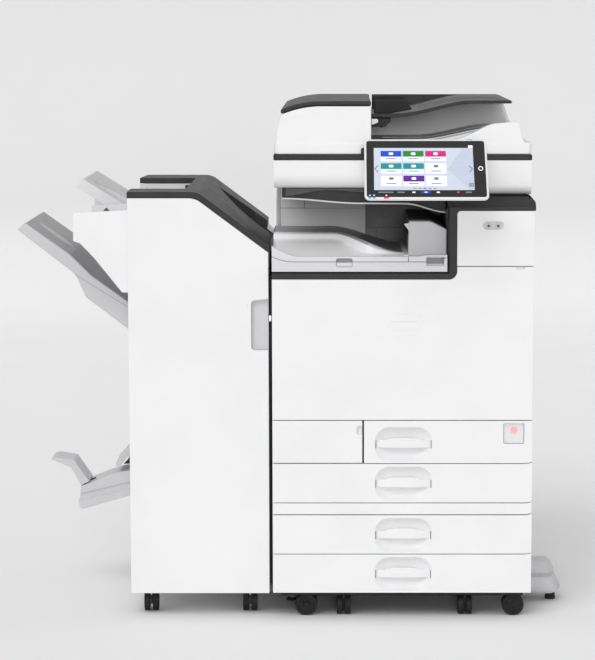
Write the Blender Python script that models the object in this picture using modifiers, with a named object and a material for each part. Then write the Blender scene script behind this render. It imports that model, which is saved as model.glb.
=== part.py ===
"""Colour multifunction copier on a two-drawer paper bank, with a bridge unit and a booklet finisher.

The machine frame, in metres: X = 0 is the printer's left side and X runs right, Y = 0 is the face of its
front covers and Y runs to the back, Z = 0 is the floor. Everything hangs from one empty, which sets the
middle of the whole footprint over the world's origin. Each moving piece hangs from an empty on its joint.
"""

import math

import bmesh
import bpy
from mathutils import Matrix, Vector

SEAM = 0.0012  # between neighbouring covers
GAP = 0.0003  # between pieces that touch
WALL = 0.006

# Printer and paper bank
WIDTH = 0.587
DEPTH = 0.605
BODY_BOTTOM = 0.0598
BANK_SEAM = 0.150
BANK_TOP = 0.2404
PRINTER_BOTTOM = 0.2679
DRAWER_SEAM = 0.3582
DOOR_BOTTOM = 0.4566
TRIM_BOTTOM = 0.776
CAVITY_FLOOR = 0.792
RIGHT_COVER_BOTTOM = 0.8047
TRIM_BAND_BOTTOM = 0.929
TRIM_TOP = 0.958
DOOR_THICK = 0.016
COVER_THICK = 0.018
HINGE_INSET = 0.004  # from a cover's face and edge to its hinge line
SMALL_DRAWER_LEFT = 0.205
TRIM_LEFT = 0.3934
TRIM_WIDTH = 0.020
CAVITY_BACK = 0.400
TOWER_FRONT = 0.060
RIM_DEPTH = 0.030

# Grips of the drawers
GRIP_X = 0.2958
GRIP_WIDTH = 0.1285
GRIP_HEIGHT = 0.0775
GRIP_DEPTH = 0.034
GRIP_RISE = 0.0437
GRIP_BAR_HEIGHT = 0.021
GRIP_BAR_THICK = 0.011
DRAWER_TRAVEL = 0.40

# Power switch, reached through a window in the top drawer's front
SWITCH_X = 0.544
SWITCH_Z = 0.4265
SWITCH_SIZE = 0.0448

# Scanner and document feeder
SCANNER_LEFT = 0.005
SCANNER_RIGHT = 0.5815
SCANNER_FRONT = 0.040
SCANNER_BACK = 0.600
SCANNER_BOTTOM = 0.9755
SCANNER_TOP = 1.0505
GLASS_LOW = (0.040, 0.085)
GLASS_HIGH = (0.500, 0.400)
GLASS_THICK = 0.004
FEEDER_STEP = 1.0775
FEEDER_TOP = 1.170
FEED_RIGHT = 0.2225
TABLE_THICK = 0.008
TABLE_FRONT = 0.130
OUTPUT_FRONT = 0.085
OUTPUT_BACK = 0.405
FENCE_THICK = 0.013
FENCE_FRONT = 0.150
FENCE_SPAN = 0.300

# Operation panel: it leans back, top edge towards the scanner
PANEL_LEFT = 0.208
PANEL_WIDTH = 0.271
PANEL_LENGTH = 0.187
PANEL_THICK = 0.016
PANEL_LEAN = math.radians(49)
PANEL_TOP_Y = 0.012
PANEL_TOP_Z = 1.086
SCREEN_WIDTH = 0.2225
SCREEN_LENGTH = 0.137
SCREEN_THICK = 0.0017

# Finisher
FIN_LEFT = -0.3226
FIN_RIGHT = -0.0074
FIN_FRONT = 0.015
FIN_BACK = 0.625
FIN_BOTTOM = 0.0555
FIN_TOP = 0.9696
FIN_BEND = -0.1655
FIN_LOW = 0.8515
LID_THICK = 0.013
LID_NOTCH = -0.1977
FIN_MIDDLE = 0.320
OUTPUT_TIP = -0.5852
OUTPUT_WIDTH = 0.340
BOOKLET_WIDTH = 0.090

# Casters and the stabiliser
WHEEL_RADIUS = 0.0248
WHEEL_WIDTH = 0.012
CASTER_WIDTH = 0.0316
CASTER_TRAIL = 0.012
AXLE_RADIUS = 0.004
BASE_BOTTOM = 0.050
STABILISER_END = 0.6703

PANEL_RUN = PANEL_LENGTH * math.sin(PANEL_LEAN)
PANEL_FALL = PANEL_LENGTH * math.cos(PANEL_LEAN)
CENTRE_X = (OUTPUT_TIP + STABILISER_END) / 2
CENTRE_Y = (PANEL_TOP_Y - PANEL_RUN + FIN_BACK) / 2
AXES = {"X": (1, 2), "Y": (0, 2), "Z": (0, 1)}  # the two axes of an outline swept along the key


def clear_scene():
    for thing in list(bpy.data.objects):
        bpy.data.objects.remove(thing, do_unlink=True)


def new_collection(name):
    made = bpy.data.collections.new(name)
    bpy.context.scene.collection.children.link(made)
    return made


def finish(name, colour, roughness, metallic=0.0):
    made = bpy.data.materials.new(name)
    made.use_nodes = True
    shader = made.node_tree.nodes["Principled BSDF"]
    shader.inputs["Base Color"].default_value = (*colour, 1.0)
    shader.inputs["Roughness"].default_value = roughness
    shader.inputs["Metallic"].default_value = metallic
    return made


clear_scene()
PARTS = new_collection("multifunction_copier")
CUTTERS = new_collection("cutters")
WHITE = finish("white_plastic", (0.87, 0.87, 0.88), 0.45)
GREY = finish("grey_plastic", (0.42, 0.42, 0.43), 0.5)
DARK = finish("dark_plastic", (0.045, 0.045, 0.048), 0.45)
INNER = finish("inner_grey_plastic", (0.22, 0.22, 0.23), 0.55)
STEEL = finish("zinc_steel", (0.60, 0.61, 0.62), 0.35, 1.0)
RUBBER = finish("black_rubber", (0.02, 0.02, 0.02), 0.7)
GLASS = finish("platen_glass", (0.55, 0.60, 0.60), 0.05)
SCREEN = finish("touch_screen", (0.62, 0.68, 0.78), 0.12)


# ---------------------------------------------------------------- shapes


def box_mesh(low, high):
    low, high = Vector(low), Vector(high)
    shape = bmesh.new()
    bmesh.ops.create_cube(shape, size=1.0)
    bmesh.ops.scale(shape, vec=high - low, verts=shape.verts)
    bmesh.ops.translate(shape, vec=(low + high) / 2, verts=shape.verts)
    return to_mesh(shape)


def cylinder_mesh(centre, radius, length, axis, segments=20):
    turn = {"X": Matrix.Rotation(math.pi / 2, 4, "Y"), "Y": Matrix.Rotation(math.pi / 2, 4, "X"), "Z": Matrix()}
    shape = bmesh.new()
    bmesh.ops.create_cone(
        shape,
        cap_ends=True,
        segments=segments,
        radius1=radius,
        radius2=radius,
        depth=length,
        matrix=Matrix.Translation(centre) @ turn[axis],
    )
    return to_mesh(shape)


def prism_mesh(outline, axis, start, end, end_scale=1.0):
    """An outline swept along an axis; its far end may be a smaller or larger copy of the near one."""
    first, second = AXES[axis]
    along = "XYZ".index(axis)
    shape = bmesh.new()
    corners = []
    for u, v in outline:
        point = [0.0, 0.0, 0.0]
        point[first], point[second], point[along] = u, v, start
        corners.append(shape.verts.new(point))
    face = shape.faces.new(corners)
    swept = bmesh.ops.extrude_face_region(shape, geom=[face])
    far = [item for item in swept["geom"] if isinstance(item, bmesh.types.BMVert)]
    step = Vector((0.0, 0.0, 0.0))
    step[along] = end - start
    bmesh.ops.translate(shape, vec=step, verts=far)
    middle = sum((vert.co for vert in far), Vector()) / len(far)
    bmesh.ops.scale(shape, vec=(end_scale,) * 3, verts=far, space=Matrix.Translation(-middle))
    bmesh.ops.recalc_face_normals(shape, faces=shape.faces)
    return to_mesh(shape)


def to_mesh(shape):
    mesh = bpy.data.meshes.new("shape")
    shape.to_mesh(mesh)
    shape.free()
    return mesh


def rounded(corners, steps=4):
    """Corners (u, v), or (u, v, radius) for a corner that is an arc, as the points of an outline."""
    points = []
    for index, corner in enumerate(corners):
        here = Vector(corner[:2])
        if len(corner) == 2:
            points.append(tuple(here))
            continue
        back = (Vector(corners[index - 1][:2]) - here).normalized()
        ahead = (Vector(corners[(index + 1) % len(corners)][:2]) - here).normalized()
        half = back.angle(ahead) / 2
        centre = here + (back + ahead).normalized() * (corner[2] / math.sin(half))
        start = here + back * (corner[2] / math.tan(half)) - centre
        end = here + ahead * (corner[2] / math.tan(half)) - centre
        sweep = math.atan2(start.x * end.y - start.y * end.x, start.dot(end))
        for step in range(steps + 1):
            arm = Matrix.Rotation(sweep * step / steps, 2) @ start
            points.append(tuple(centre + arm))
    return points


def rectangle(left, bottom, right, top, radius):
    corners = ((left, bottom), (right, bottom), (right, top), (left, top))
    return rounded([(*corner, radius) for corner in corners])


# ---------------------------------------------------------------- pieces


def empty(name, location, parent=None):
    """An empty at a place given in the machine frame."""
    made = bpy.data.objects.new(name, None)
    made.empty_display_size = 0.02
    made.location = Vector(location) - (parent["place"] if parent else Vector())
    PARTS.objects.link(made)
    if parent:
        made.parent = parent["empty"]
    return {"empty": made, "place": Vector(location)}


def shift_origin(machine):
    machine["empty"].location = (-CENTRE_X, -CENTRE_Y, 0.0)


MACHINE = empty("machine", (0.0, 0.0, 0.0))
shift_origin(MACHINE)


def piece(name, mesh, material, body=MACHINE, bevel=0.0, segments=2, smooth=False):
    """A named piece whose mesh is given in the machine frame, hung from its body's empty."""
    mesh.name = name
    mesh.materials.append(material)
    if smooth:
        mesh.shade_smooth()
        mesh.set_sharp_from_angle(angle=math.radians(35))
    made = bpy.data.objects.new(name, mesh)
    made.parent = body["empty"]
    made.location = -body["place"]
    PARTS.objects.link(made)
    if bevel:
        round_edges = made.modifiers.new("rounded_edges", "BEVEL")
        round_edges.width = bevel
        round_edges.segments = segments
        round_edges.limit_method = "ANGLE"
        round_edges.angle_limit = math.radians(40)
    return made


def combine(target, mesh, operation):
    """Cut a shape out of a piece with DIFFERENCE, or join it on with UNION."""
    tool = bpy.data.objects.new(f"{target.name}_{operation.lower()}_{len(target.modifiers)}", mesh)
    tool.parent = target.parent
    tool.location = target.location
    tool.hide_render = True
    tool.display_type = "WIRE"
    CUTTERS.objects.link(tool)
    step = target.modifiers.new(tool.name, "BOOLEAN")
    step.operation = operation
    step.object = tool


def cut(target, *meshes):
    for mesh in meshes:
        combine(target, mesh, "DIFFERENCE")


def join(target, *meshes):
    for mesh in meshes:
        combine(target, mesh, "UNION")


# ---------------------------------------------------------------- printer body


def base_plate():
    """The bank's bottom, with its two front support rollers and two levelling feet as plain posts."""
    made = piece("base_plate", box_mesh((0.018, 0.020, BASE_BOTTOM), (0.569, 0.590, BODY_BOTTOM - GAP)), DARK)
    for x, y in ((0.161, 0.0525), (0.438, 0.0525), (0.041, 0.184), (0.041, 0.440)):
        join(made, cylinder_mesh((x, y, 0.0265), 0.0155, 0.053, "Z", 12))


def inner_frame():
    """Sheet steel spine with a shelf over each pair of drawers and the deck that the process unit stands on."""
    front, spine, back = 0.022, 0.590, 0.598
    shelves = ((0.1485, 0.1515), (0.247, 0.261), (0.3567, 0.3597), (0.459, 0.467))
    outline = [(back, 0.0605), (back, 0.775), (spine, 0.775)]
    for low, high in reversed(shelves):
        outline += [(spine, high), (front, high), (front, low), (spine, low)]
    outline.append((spine, 0.0605))
    piece("inner_frame", prism_mesh(outline, "X", 0.0075, 0.5565), STEEL)


def casing_shell():
    """Left, rear and right walls, joined at the front by the blank strip over the bank."""
    front, low = 0.0205, 0.060
    outline = [
        (0.0, front), (WALL, front), (WALL, DEPTH - WALL), (WIDTH - WALL, DEPTH - WALL),
        (WIDTH - WALL, front), (WIDTH, front), (WIDTH, DEPTH), (0.0, DEPTH),
    ]
    made = piece("casing_shell", prism_mesh(outline, "Z", low, 0.9285), WHITE)
    half_seam = SEAM / 2
    strip_low = (half_seam, 0.0, BANK_TOP + half_seam)
    join(made, box_mesh(strip_low, (WIDTH - half_seam, front + 0.001, PRINTER_BOTTOM - half_seam)))
    switch_housing(made)
    cut(
        made,
        box_mesh((-0.01, -0.01, TRIM_BOTTOM - GAP), (WALL + 0.001, CAVITY_BACK, 1.0)),
        box_mesh((WIDTH - WALL - 0.001, -0.01, DOOR_BOTTOM - 0.002), (WIDTH + 0.01, TOWER_FRONT + 0.0006, 1.0)),
        box_mesh((WIDTH - 0.02, TOWER_FRONT, 0.3594), (WIDTH + 0.01, 0.540, 0.780)),
        box_mesh((0.500, DEPTH - 0.02, 0.085), (0.527, DEPTH + 0.01, 0.105)),
    )


def switch_housing(casing):
    """The power switch's housing, held from the right wall behind the top drawer's front."""
    half = SWITCH_SIZE / 2
    join(
        casing,
        box_mesh((SWITCH_X - half, 0.0235, 0.4000), (WIDTH - 0.001, 0.0275, 0.4500)),
        box_mesh((SWITCH_X - half, 0.0055, SWITCH_Z - half), (SWITCH_X + half, 0.0250, SWITCH_Z + half)),
    )
    cut(casing, cylinder_mesh((SWITCH_X, 0.0145, SWITCH_Z + 0.006), 0.0066, 0.020, "Y", 16))


def upper_right_cover():
    low, high = TRIM_LEFT + TRIM_WIDTH + 0.0006, TRIM_BAND_BOTTOM - 0.0006
    outline = rounded([
        (low, RIGHT_COVER_BOTTOM + SEAM / 2), (WIDTH, RIGHT_COVER_BOTTOM + SEAM / 2), (WIDTH, high),
        (low, high, 0.0085),
    ])
    made = piece("upper_right_cover", prism_mesh(outline, "Y", 0.0, TOWER_FRONT), WHITE, bevel=0.003)
    cut(made, box_mesh((low + WALL, WALL, 0.812), (WIDTH - WALL, 0.1, high - WALL)))


def dark_trim():
    """The dark rim that runs under the exit cavity, up its right side and over the right cover."""
    right = TRIM_LEFT + TRIM_WIDTH
    rim = rounded([
        (0.0, TRIM_BOTTOM), (right, TRIM_BOTTOM, 0.018), (right, TRIM_BAND_BOTTOM, 0.009),
        (0.460, TRIM_BAND_BOTTOM), (0.460, 0.936), (TRIM_LEFT, 0.936), (TRIM_LEFT, CAVITY_FLOOR),
        (0.0, CAVITY_FLOOR),
    ])
    made = piece("dark_trim", prism_mesh(rim, "Y", 0.0, RIM_DEPTH), DARK)
    band = [(0.0, TRIM_BAND_BOTTOM), (0.0, 0.9375), (0.036, TRIM_TOP), (0.598, TRIM_TOP), (0.598, TRIM_BAND_BOTTOM)]
    join(made, prism_mesh(band, "X", TRIM_LEFT, WIDTH + 0.002))
    corner = [(0.576, 0.962), (0.595, 0.962), (0.595, 0.938)]
    cut(made, prism_mesh(corner, "Y", -0.01, 0.61))


def cavity_housing():
    """The housing behind the exit cavity and, on its right, the tower that the scanner stands on."""
    left, seam, right, back = 0.008, 0.3925, 0.5805, 0.5985
    low, tower_top = 0.7805, TRIM_BAND_BOTTOM - GAP
    front = TOWER_FRONT + 0.0015
    plan = [(left, CAVITY_BACK), (seam, CAVITY_BACK), (seam, front), (right, front), (right, back), (left, back)]
    made = piece("cavity_housing", prism_mesh(plan, "Z", low, tower_top), INNER)
    join(made, box_mesh((left, CAVITY_BACK, 0.900), (seam, back, SCANNER_BOTTOM - GAP)))
    hollow = [
        (left + WALL, CAVITY_BACK + WALL), (seam + WALL, CAVITY_BACK + WALL), (seam + WALL, front + WALL),
        (right - WALL, front + WALL), (right - WALL, back - WALL), (left + WALL, back - WALL),
    ]
    cut(made, prism_mesh(hollow, "Z", low - 0.01, tower_top - WALL))


def front_door():
    left, right = SEAM / 2, WIDTH - SEAM / 2
    bottom, low_top, high_top = DOOR_BOTTOM + SEAM / 2, TRIM_BOTTOM - SEAM / 2, RIGHT_COVER_BOTTOM - SEAM / 2
    step = TRIM_LEFT + TRIM_WIDTH + SEAM / 2
    body = empty("front_door_pivot", (WIDTH / 2, HINGE_INSET, bottom + HINGE_INSET), MACHINE)
    outline = rounded([
        (left, bottom), (right, bottom), (right, high_top), (step, high_top),
        (step, low_top, 0.0186), (left, low_top),
    ])
    piece("front_door", prism_mesh(outline, "Y", 0.0, DOOR_THICK), WHITE, body, bevel=0.003)


def waste_toner_cover():
    left, bottom = SEAM / 2, DRAWER_SEAM + SEAM / 2
    body = empty("waste_toner_cover_pivot", (left + HINGE_INSET, HINGE_INSET, bottom), MACHINE)
    high = (SMALL_DRAWER_LEFT - SEAM / 2, DOOR_THICK, DOOR_BOTTOM - SEAM / 2)
    piece("waste_toner_cover", box_mesh((left, 0.0, bottom), high), WHITE, body, bevel=0.003)


def power_switch():
    half = SWITCH_SIZE / 2
    left = SWITCH_X - half
    flap = empty("power_flap_pivot", (left + 0.0015, 0.0025, SWITCH_Z), MACHINE)
    low, high = (left, 0.001, SWITCH_Z - half), (SWITCH_X + half, 0.004, SWITCH_Z + half)
    piece("power_flap", box_mesh(low, high), GREY, flap, bevel=0.001, segments=1)
    place = (SWITCH_X, 0.0135, SWITCH_Z + 0.006)
    button = empty("power_button_pivot", place, MACHINE)
    piece("power_button", cylinder_mesh(place, 0.006, 0.013, "Y", 16), GREY, button, smooth=True)


# ---------------------------------------------------------------- drawers


def grip_outline(centre_z, grow=0.0):
    half_width, half_height = GRIP_WIDTH / 2 + grow, GRIP_HEIGHT / 2 + grow
    return rectangle(
        GRIP_X - half_width, centre_z - half_height, GRIP_X + half_width, centre_z + half_height, 0.033 + grow
    )


def drawer(name, left, bottom, top, bin_right):
    """A drawer: a front with its bowl-shaped grip and bar, and the paper bin behind it."""
    body = empty(f"{name}_pivot", (WIDTH / 2, 0.0, (bottom + top) / 2), MACHINE)
    low = (left + SEAM / 2, 0.0, bottom + SEAM / 2)
    high = (WIDTH - SEAM / 2, COVER_THICK, top - SEAM / 2)
    front = piece(f"{name}_front", box_mesh(low, high), WHITE, body, bevel=0.003)
    grip_z = bottom + GRIP_RISE
    join(front, prism_mesh(grip_outline(grip_z, 0.003), "Y", 0.010, GRIP_DEPTH + 0.003, 0.9))
    cut(front, prism_mesh(grip_outline(grip_z), "Y", -0.006, GRIP_DEPTH, 0.8))
    half_bar = GRIP_BAR_HEIGHT / 2
    bar_reach = GRIP_WIDTH / 2 + 0.002
    join(
        front,
        box_mesh(
            (GRIP_X - bar_reach, 0.001, grip_z - half_bar),
            (GRIP_X + bar_reach, GRIP_BAR_THICK, grip_z + half_bar),
        ),
    )
    bin_left = left + 0.025 if left else 0.025
    bin_low = (bin_left, GRIP_DEPTH + 0.0035, bottom + 0.009)
    bin_high = (bin_right, 0.560, bottom + 0.081)
    paper_bin = piece(f"{name}_bin", box_mesh(bin_low, bin_high), INNER, body)
    inset = 0.004
    hollow_low = tuple(value + inset for value in bin_low)
    cut(paper_bin, box_mesh(hollow_low, (bin_right - inset, 0.560 - inset, top)))
    return front


def drawers():
    half = SWITCH_SIZE / 2 + SEAM
    top_front = drawer("tray_1", SMALL_DRAWER_LEFT, DRAWER_SEAM, DOOR_BOTTOM, 0.512)
    cut(
        top_front,
        box_mesh((SWITCH_X - half, -0.01, SWITCH_Z - half), (SWITCH_X + half, 0.03, SWITCH_Z + half)),
    )
    drawer("tray_2", 0.0, PRINTER_BOTTOM, DRAWER_SEAM, 0.562)
    drawer("tray_3", 0.0, BANK_SEAM, BANK_TOP, 0.562)
    drawer("tray_4", 0.0, BODY_BOTTOM, BANK_SEAM, 0.562)


# ---------------------------------------------------------------- inside the printer


def process_unit():
    """The cover over the drums and belt, with the four toner bottles lying along its top."""
    deck = 0.4673
    made = piece("process_unit", box_mesh((0.020, 0.060, deck), (0.415, 0.570, 0.690)), INNER)
    for number in range(4):
        join(made, cylinder_mesh((0.075 + 0.095 * number, 0.300, 0.705), 0.042, 0.540, "Y", 20))
    cut(made, box_mesh((0.028, 0.068, deck - 0.01), (0.407, 0.562, 0.640)))


def fuser_unit():
    made = piece("fuser_unit", box_mesh((0.430, 0.070, 0.600), (0.550, 0.560, 0.765)), INNER, bevel=0.008, segments=1)
    cut(made, box_mesh((0.470, 0.100, 0.690), (0.510, 0.530, 0.780)))


def duplex_door():
    """The right-hand door for jams, with the bypass tray folded into its outer face."""
    outer, bottom = WIDTH - 0.0002, 0.3606
    body = empty("duplex_door_pivot", (outer - HINGE_INSET, 0.300, bottom + HINGE_INSET), MACHINE)
    low, high = (0.5575, 0.0606, bottom), (outer, 0.5394, 0.7786)
    door = piece("duplex_door", box_mesh(low, high), WHITE, body, bevel=0.003)
    cut(
        door,
        box_mesh((outer - 0.014, 0.130, 0.480), (WIDTH + 0.01, 0.470, 0.700)),
        box_mesh((0.540, 0.150, 0.492), (outer, 0.450, 0.504)),
    )
    tray_bottom = 0.4806
    bypass = empty("bypass_tray_pivot", (outer - HINGE_INSET, 0.300, tray_bottom + HINGE_INSET), body)
    low, high = (outer - 0.0134, 0.1306, tray_bottom), (outer, 0.4694, 0.6994)
    piece("bypass_tray", box_mesh(low, high), WHITE, bypass, bevel=0.003)


# ---------------------------------------------------------------- exit cavity


def bridge_body():
    outline = [
        (SEAM / 2, CAVITY_FLOOR + SEAM / 2), (0.3922, CAVITY_FLOOR + SEAM / 2), (0.3922, 0.8140),
        (0.086, 0.8140), (0.050, 0.8155), (0.020, 0.8205), (SEAM / 2, 0.8262),
    ]
    piece("bridge_body", prism_mesh(outline, "Y", 0.0005, CAVITY_BACK - GAP), GREY)


def bridge_cover():
    """The bridge unit's cover and exit surface: high at the left, falling in an S to the exit."""
    right, back = 0.3045, 0.385
    body = empty("bridge_cover_pivot", (0.150, back - 0.001, 0.8158), MACHINE)
    underside = [(SEAM / 2, 0.8274), (0.020, 0.8217), (0.050, 0.8167), (0.086, 0.8150), (right, 0.8150)]
    ledge = [(right, 0.8270), (0.086, 0.8270), (0.050, 0.8300), (0.020, 0.8400), (SEAM / 2, 0.8500)]
    made = piece("bridge_cover", prism_mesh(underside + ledge, "Y", 0.0005, 0.062), GREY, body)
    surface = [(right, 0.8250), (0.285, 0.8285), (0.240, 0.8430), (0.200, 0.8540), (0.165, 0.8580), (SEAM / 2, 0.8580)]
    join(made, prism_mesh(underside + surface, "Y", 0.061, back))


def exit_block():
    """The paper exit on the cavity's right, with its slot facing the exit surface."""
    left, right, ledge = 0.3057, 0.3922, 0.8270
    made = piece("exit_block", box_mesh((left, 0.0005, 0.8146), (right, CAVITY_BACK - GAP, ledge)), GREY)
    profile = rounded([
        (0.3075, 0.822), (right, 0.822), (right, 0.886), (0.352, 0.9105, 0.030), (0.3165, 0.9105, 0.004),
    ])
    join(made, prism_mesh(profile, "Y", 0.028, CAVITY_BACK - 0.001))
    cut(made, box_mesh((0.300, 0.060, 0.862), (0.345, 0.370, 0.876)))


# ---------------------------------------------------------------- scanner


def scanner_housing():
    """The scanner: an open shell under the platen glass, with the moulding that closes the cavity's top."""
    low = (SCANNER_LEFT, SCANNER_FRONT, SCANNER_BOTTOM)
    made = piece("scanner_housing", box_mesh(low, (SCANNER_RIGHT, SCANNER_BACK, SCANNER_TOP)), WHITE, bevel=0.006)
    right_foot = box_mesh((TRIM_LEFT + 0.001, SCANNER_FRONT + 0.002, TRIM_TOP + 0.0006), (0.579, 0.597, 0.990))
    moulding = [
        (0.022, 0.985), (0.022, 0.9535), (0.060, 0.9465), (0.150, 0.9420), (0.290, 0.9400),
        (0.355, 0.9330), (0.392, 0.9200), (0.392, 0.985),
    ]
    join(made, right_foot, prism_mesh(moulding, "Y", TOWER_FRONT, CAVITY_BACK - 0.001), panel_arm())
    floor = SCANNER_BOTTOM + WALL
    cut(
        made,
        box_mesh((0.012, 0.047, 0.991), (0.5745, 0.593, SCANNER_TOP - WALL)),
        box_mesh((*GLASS_LOW, floor + 0.02), (*GLASS_HIGH, SCANNER_TOP + 0.01)),
    )
    inset = GAP
    piece(
        "platen_glass",
        box_mesh(
            (GLASS_LOW[0] + inset, GLASS_LOW[1] + inset, SCANNER_TOP - GLASS_THICK),
            (GLASS_HIGH[0] - inset, GLASS_HIGH[1] - inset, SCANNER_TOP),
        ),
        GLASS,
    )


def scan_carriage():
    body = empty("scan_carriage_pivot", (0.0575, 0.320, 1.010), MACHINE)
    piece("scan_carriage", box_mesh((0.030, 0.060, 0.994), (0.085, 0.580, 1.036)), DARK, body, bevel=0.004, segments=1)


# ---------------------------------------------------------------- document feeder


def arch(offset):
    """The feed cover's arch, from its left tip to its flat right end, moved down by an offset."""
    points = ((0.0205, 1.1515), (0.0480, 1.1620), (0.0765, 1.1677), (0.1050, FEEDER_TOP))
    return [(x, z - offset) for x, z in points]


def table_curve(offset):
    """The original table's underside from left to right, moved up by an offset."""
    points = ((0.2245, 1.1303), (0.2700, 1.1303), (0.3190, 1.1385), (0.3730, 1.1520), (0.4400, 1.1615), (0.5430, 1.1620))
    return [(x, z + offset) for x, z in points]


def feeder_base(body):
    low, high = (0.0055, 0.042, SCANNER_TOP + 0.0009), (0.5812, 0.5995, FEEDER_STEP)
    made = piece("feeder_base", box_mesh(low, high), WHITE, body, bevel=0.005)
    left_body = [(0.0095, 1.066), (FEED_RIGHT, 1.066), (FEED_RIGHT, 1.1590)]
    left_body += [(x + 0.002, z) for x, z in reversed(arch(0.0112))] + [(0.0122, 1.1094)]
    output = [
        (0.2200, 1.066), (0.560, 1.066), (0.556, 1.112), (0.510, 1.107), (0.404, 1.0815), (0.330, 1.0790),
        (0.2200, 1.0790),
    ]
    rim = [(0.340, 1.066), (0.568, 1.066), (0.5609, 1.086), (0.5514, 1.1174), (0.512, 1.1136), (0.404, 1.0873)]
    rear = [(0.2200, 1.066), (0.5700, 1.066), (0.5560, 1.110), (0.5420, 1.1500)]
    rear += [(x, z) for x, z in reversed(table_curve(-0.0015)) if x < 0.42]
    join(
        made,
        prism_mesh(left_body, "Y", 0.044, 0.598),
        prism_mesh(output, "Y", 0.080, OUTPUT_BACK + 0.005),
        prism_mesh(rim, "Y", 0.044, OUTPUT_FRONT),
        prism_mesh(rear, "Y", OUTPUT_BACK, 0.5975),
    )


def feed_cover(parent):
    body = empty("feed_cover_pivot", (0.0215, 0.320, 1.1450), parent)
    outline = arch(0.0) + [(FEED_RIGHT - 0.005, FEEDER_TOP), (FEED_RIGHT - 0.005, FEEDER_TOP - 0.0095)]
    outline += list(reversed(arch(0.0095)))
    piece("feed_cover", prism_mesh(outline, "Y", 0.044, 0.598), DARK, body)


def original_table(parent):
    """The dark table that originals are laid on, with a rail along its back and two side guides."""
    body = empty("original_table_pivot", (0.2270, 0.320, 1.1340), parent)
    plate = table_curve(0.0) + list(reversed(table_curve(TABLE_THICK)))
    made = piece("original_table", prism_mesh(plate, "Y", TABLE_FRONT, 0.597), DARK, body)
    rail = [(0.2300, 1.1323), *table_curve(0.002)[1:], (0.5430, FEEDER_TOP), (0.2300, FEEDER_TOP)]
    join(made, prism_mesh(rail, "Y", 0.566, 0.5965))
    outline = rounded([
        (0.2300, 1.1387), (0.2690, 1.1387), (0.3168, 1.1476), (0.2987, 1.1690, 0.010), (0.2300, 1.1690),
    ])
    for side, y in (("front", FENCE_FRONT), ("rear", FENCE_FRONT + FENCE_THICK + FENCE_SPAN)):
        guide = empty(f"{side}_guide_pivot", (0.270, y, 1.150), body)
        piece(f"{side}_guide", prism_mesh(outline, "Y", y, y + FENCE_THICK), DARK, guide)


def document_feeder():
    body = empty("feeder_pivot", (0.290, 0.600, SCANNER_TOP + 0.0007), MACHINE)
    feeder_base(body)
    feed_cover(body)
    original_table(body)


# ---------------------------------------------------------------- operation panel


def panel_arm():
    """The arm on the scanner's front that the operation panel tilts on: its tip lies on the hinge line."""
    arm = [(0.050, 1.000), (0.050, 1.030), (-0.0020, 1.0485), (-0.0070, 1.0475), (-0.0070, 1.0425)]
    return prism_mesh(arm, "X", 0.318, 0.369)


def leaning(mesh, top_y, top_z):
    """Tilt a mesh drawn flat, with its top edge on Y = 0 and its face up, back to the panel's lean."""
    tilt = Matrix.Rotation(math.pi / 2 - PANEL_LEAN, 4, "X")
    mesh.transform(Matrix.Translation((0.0, top_y, top_z)) @ tilt)
    return mesh


def operation_panel():
    right = PANEL_LEFT + PANEL_WIDTH
    body = empty("operation_panel_pivot", ((PANEL_LEFT + right) / 2, -0.004, 1.0450), MACHINE)
    slab = prism_mesh(rectangle(PANEL_LEFT, -PANEL_LENGTH, right, 0.0, 0.010), "Z", 0.0, -PANEL_THICK, 0.86)
    housing = piece("panel_housing", leaning(slab, PANEL_TOP_Y, PANEL_TOP_Z), WHITE, body, bevel=0.003)
    middle, screen_top = (PANEL_LEFT + right) / 2 - 0.0045, -0.027
    half = SCREEN_WIDTH / 2
    pocket = box_mesh((middle - half, screen_top - SCREEN_LENGTH, -0.002), (middle + half, screen_top, 0.01))
    cut(housing, leaning(pocket, PANEL_TOP_Y, PANEL_TOP_Z))
    low = (middle - half + GAP, screen_top - SCREEN_LENGTH + GAP, -SCREEN_THICK)
    glass = box_mesh(low, (middle + half - GAP, screen_top - GAP, -GAP))
    piece("panel_screen", leaning(glass, PANEL_TOP_Y, PANEL_TOP_Z), SCREEN, body)


# ---------------------------------------------------------------- finisher


def roof(drop, left=FIN_LEFT, right=FIN_RIGHT):
    """The finisher's roof line, flat and then sloping down to the right, set down by a drop."""
    slope = (FIN_TOP - FIN_LOW) / (FIN_RIGHT - FIN_BEND)
    return [(right, FIN_LOW - drop + slope * (FIN_RIGHT - right)), (FIN_BEND, FIN_TOP - drop, 0.045), (left, FIN_TOP - drop)]


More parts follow.
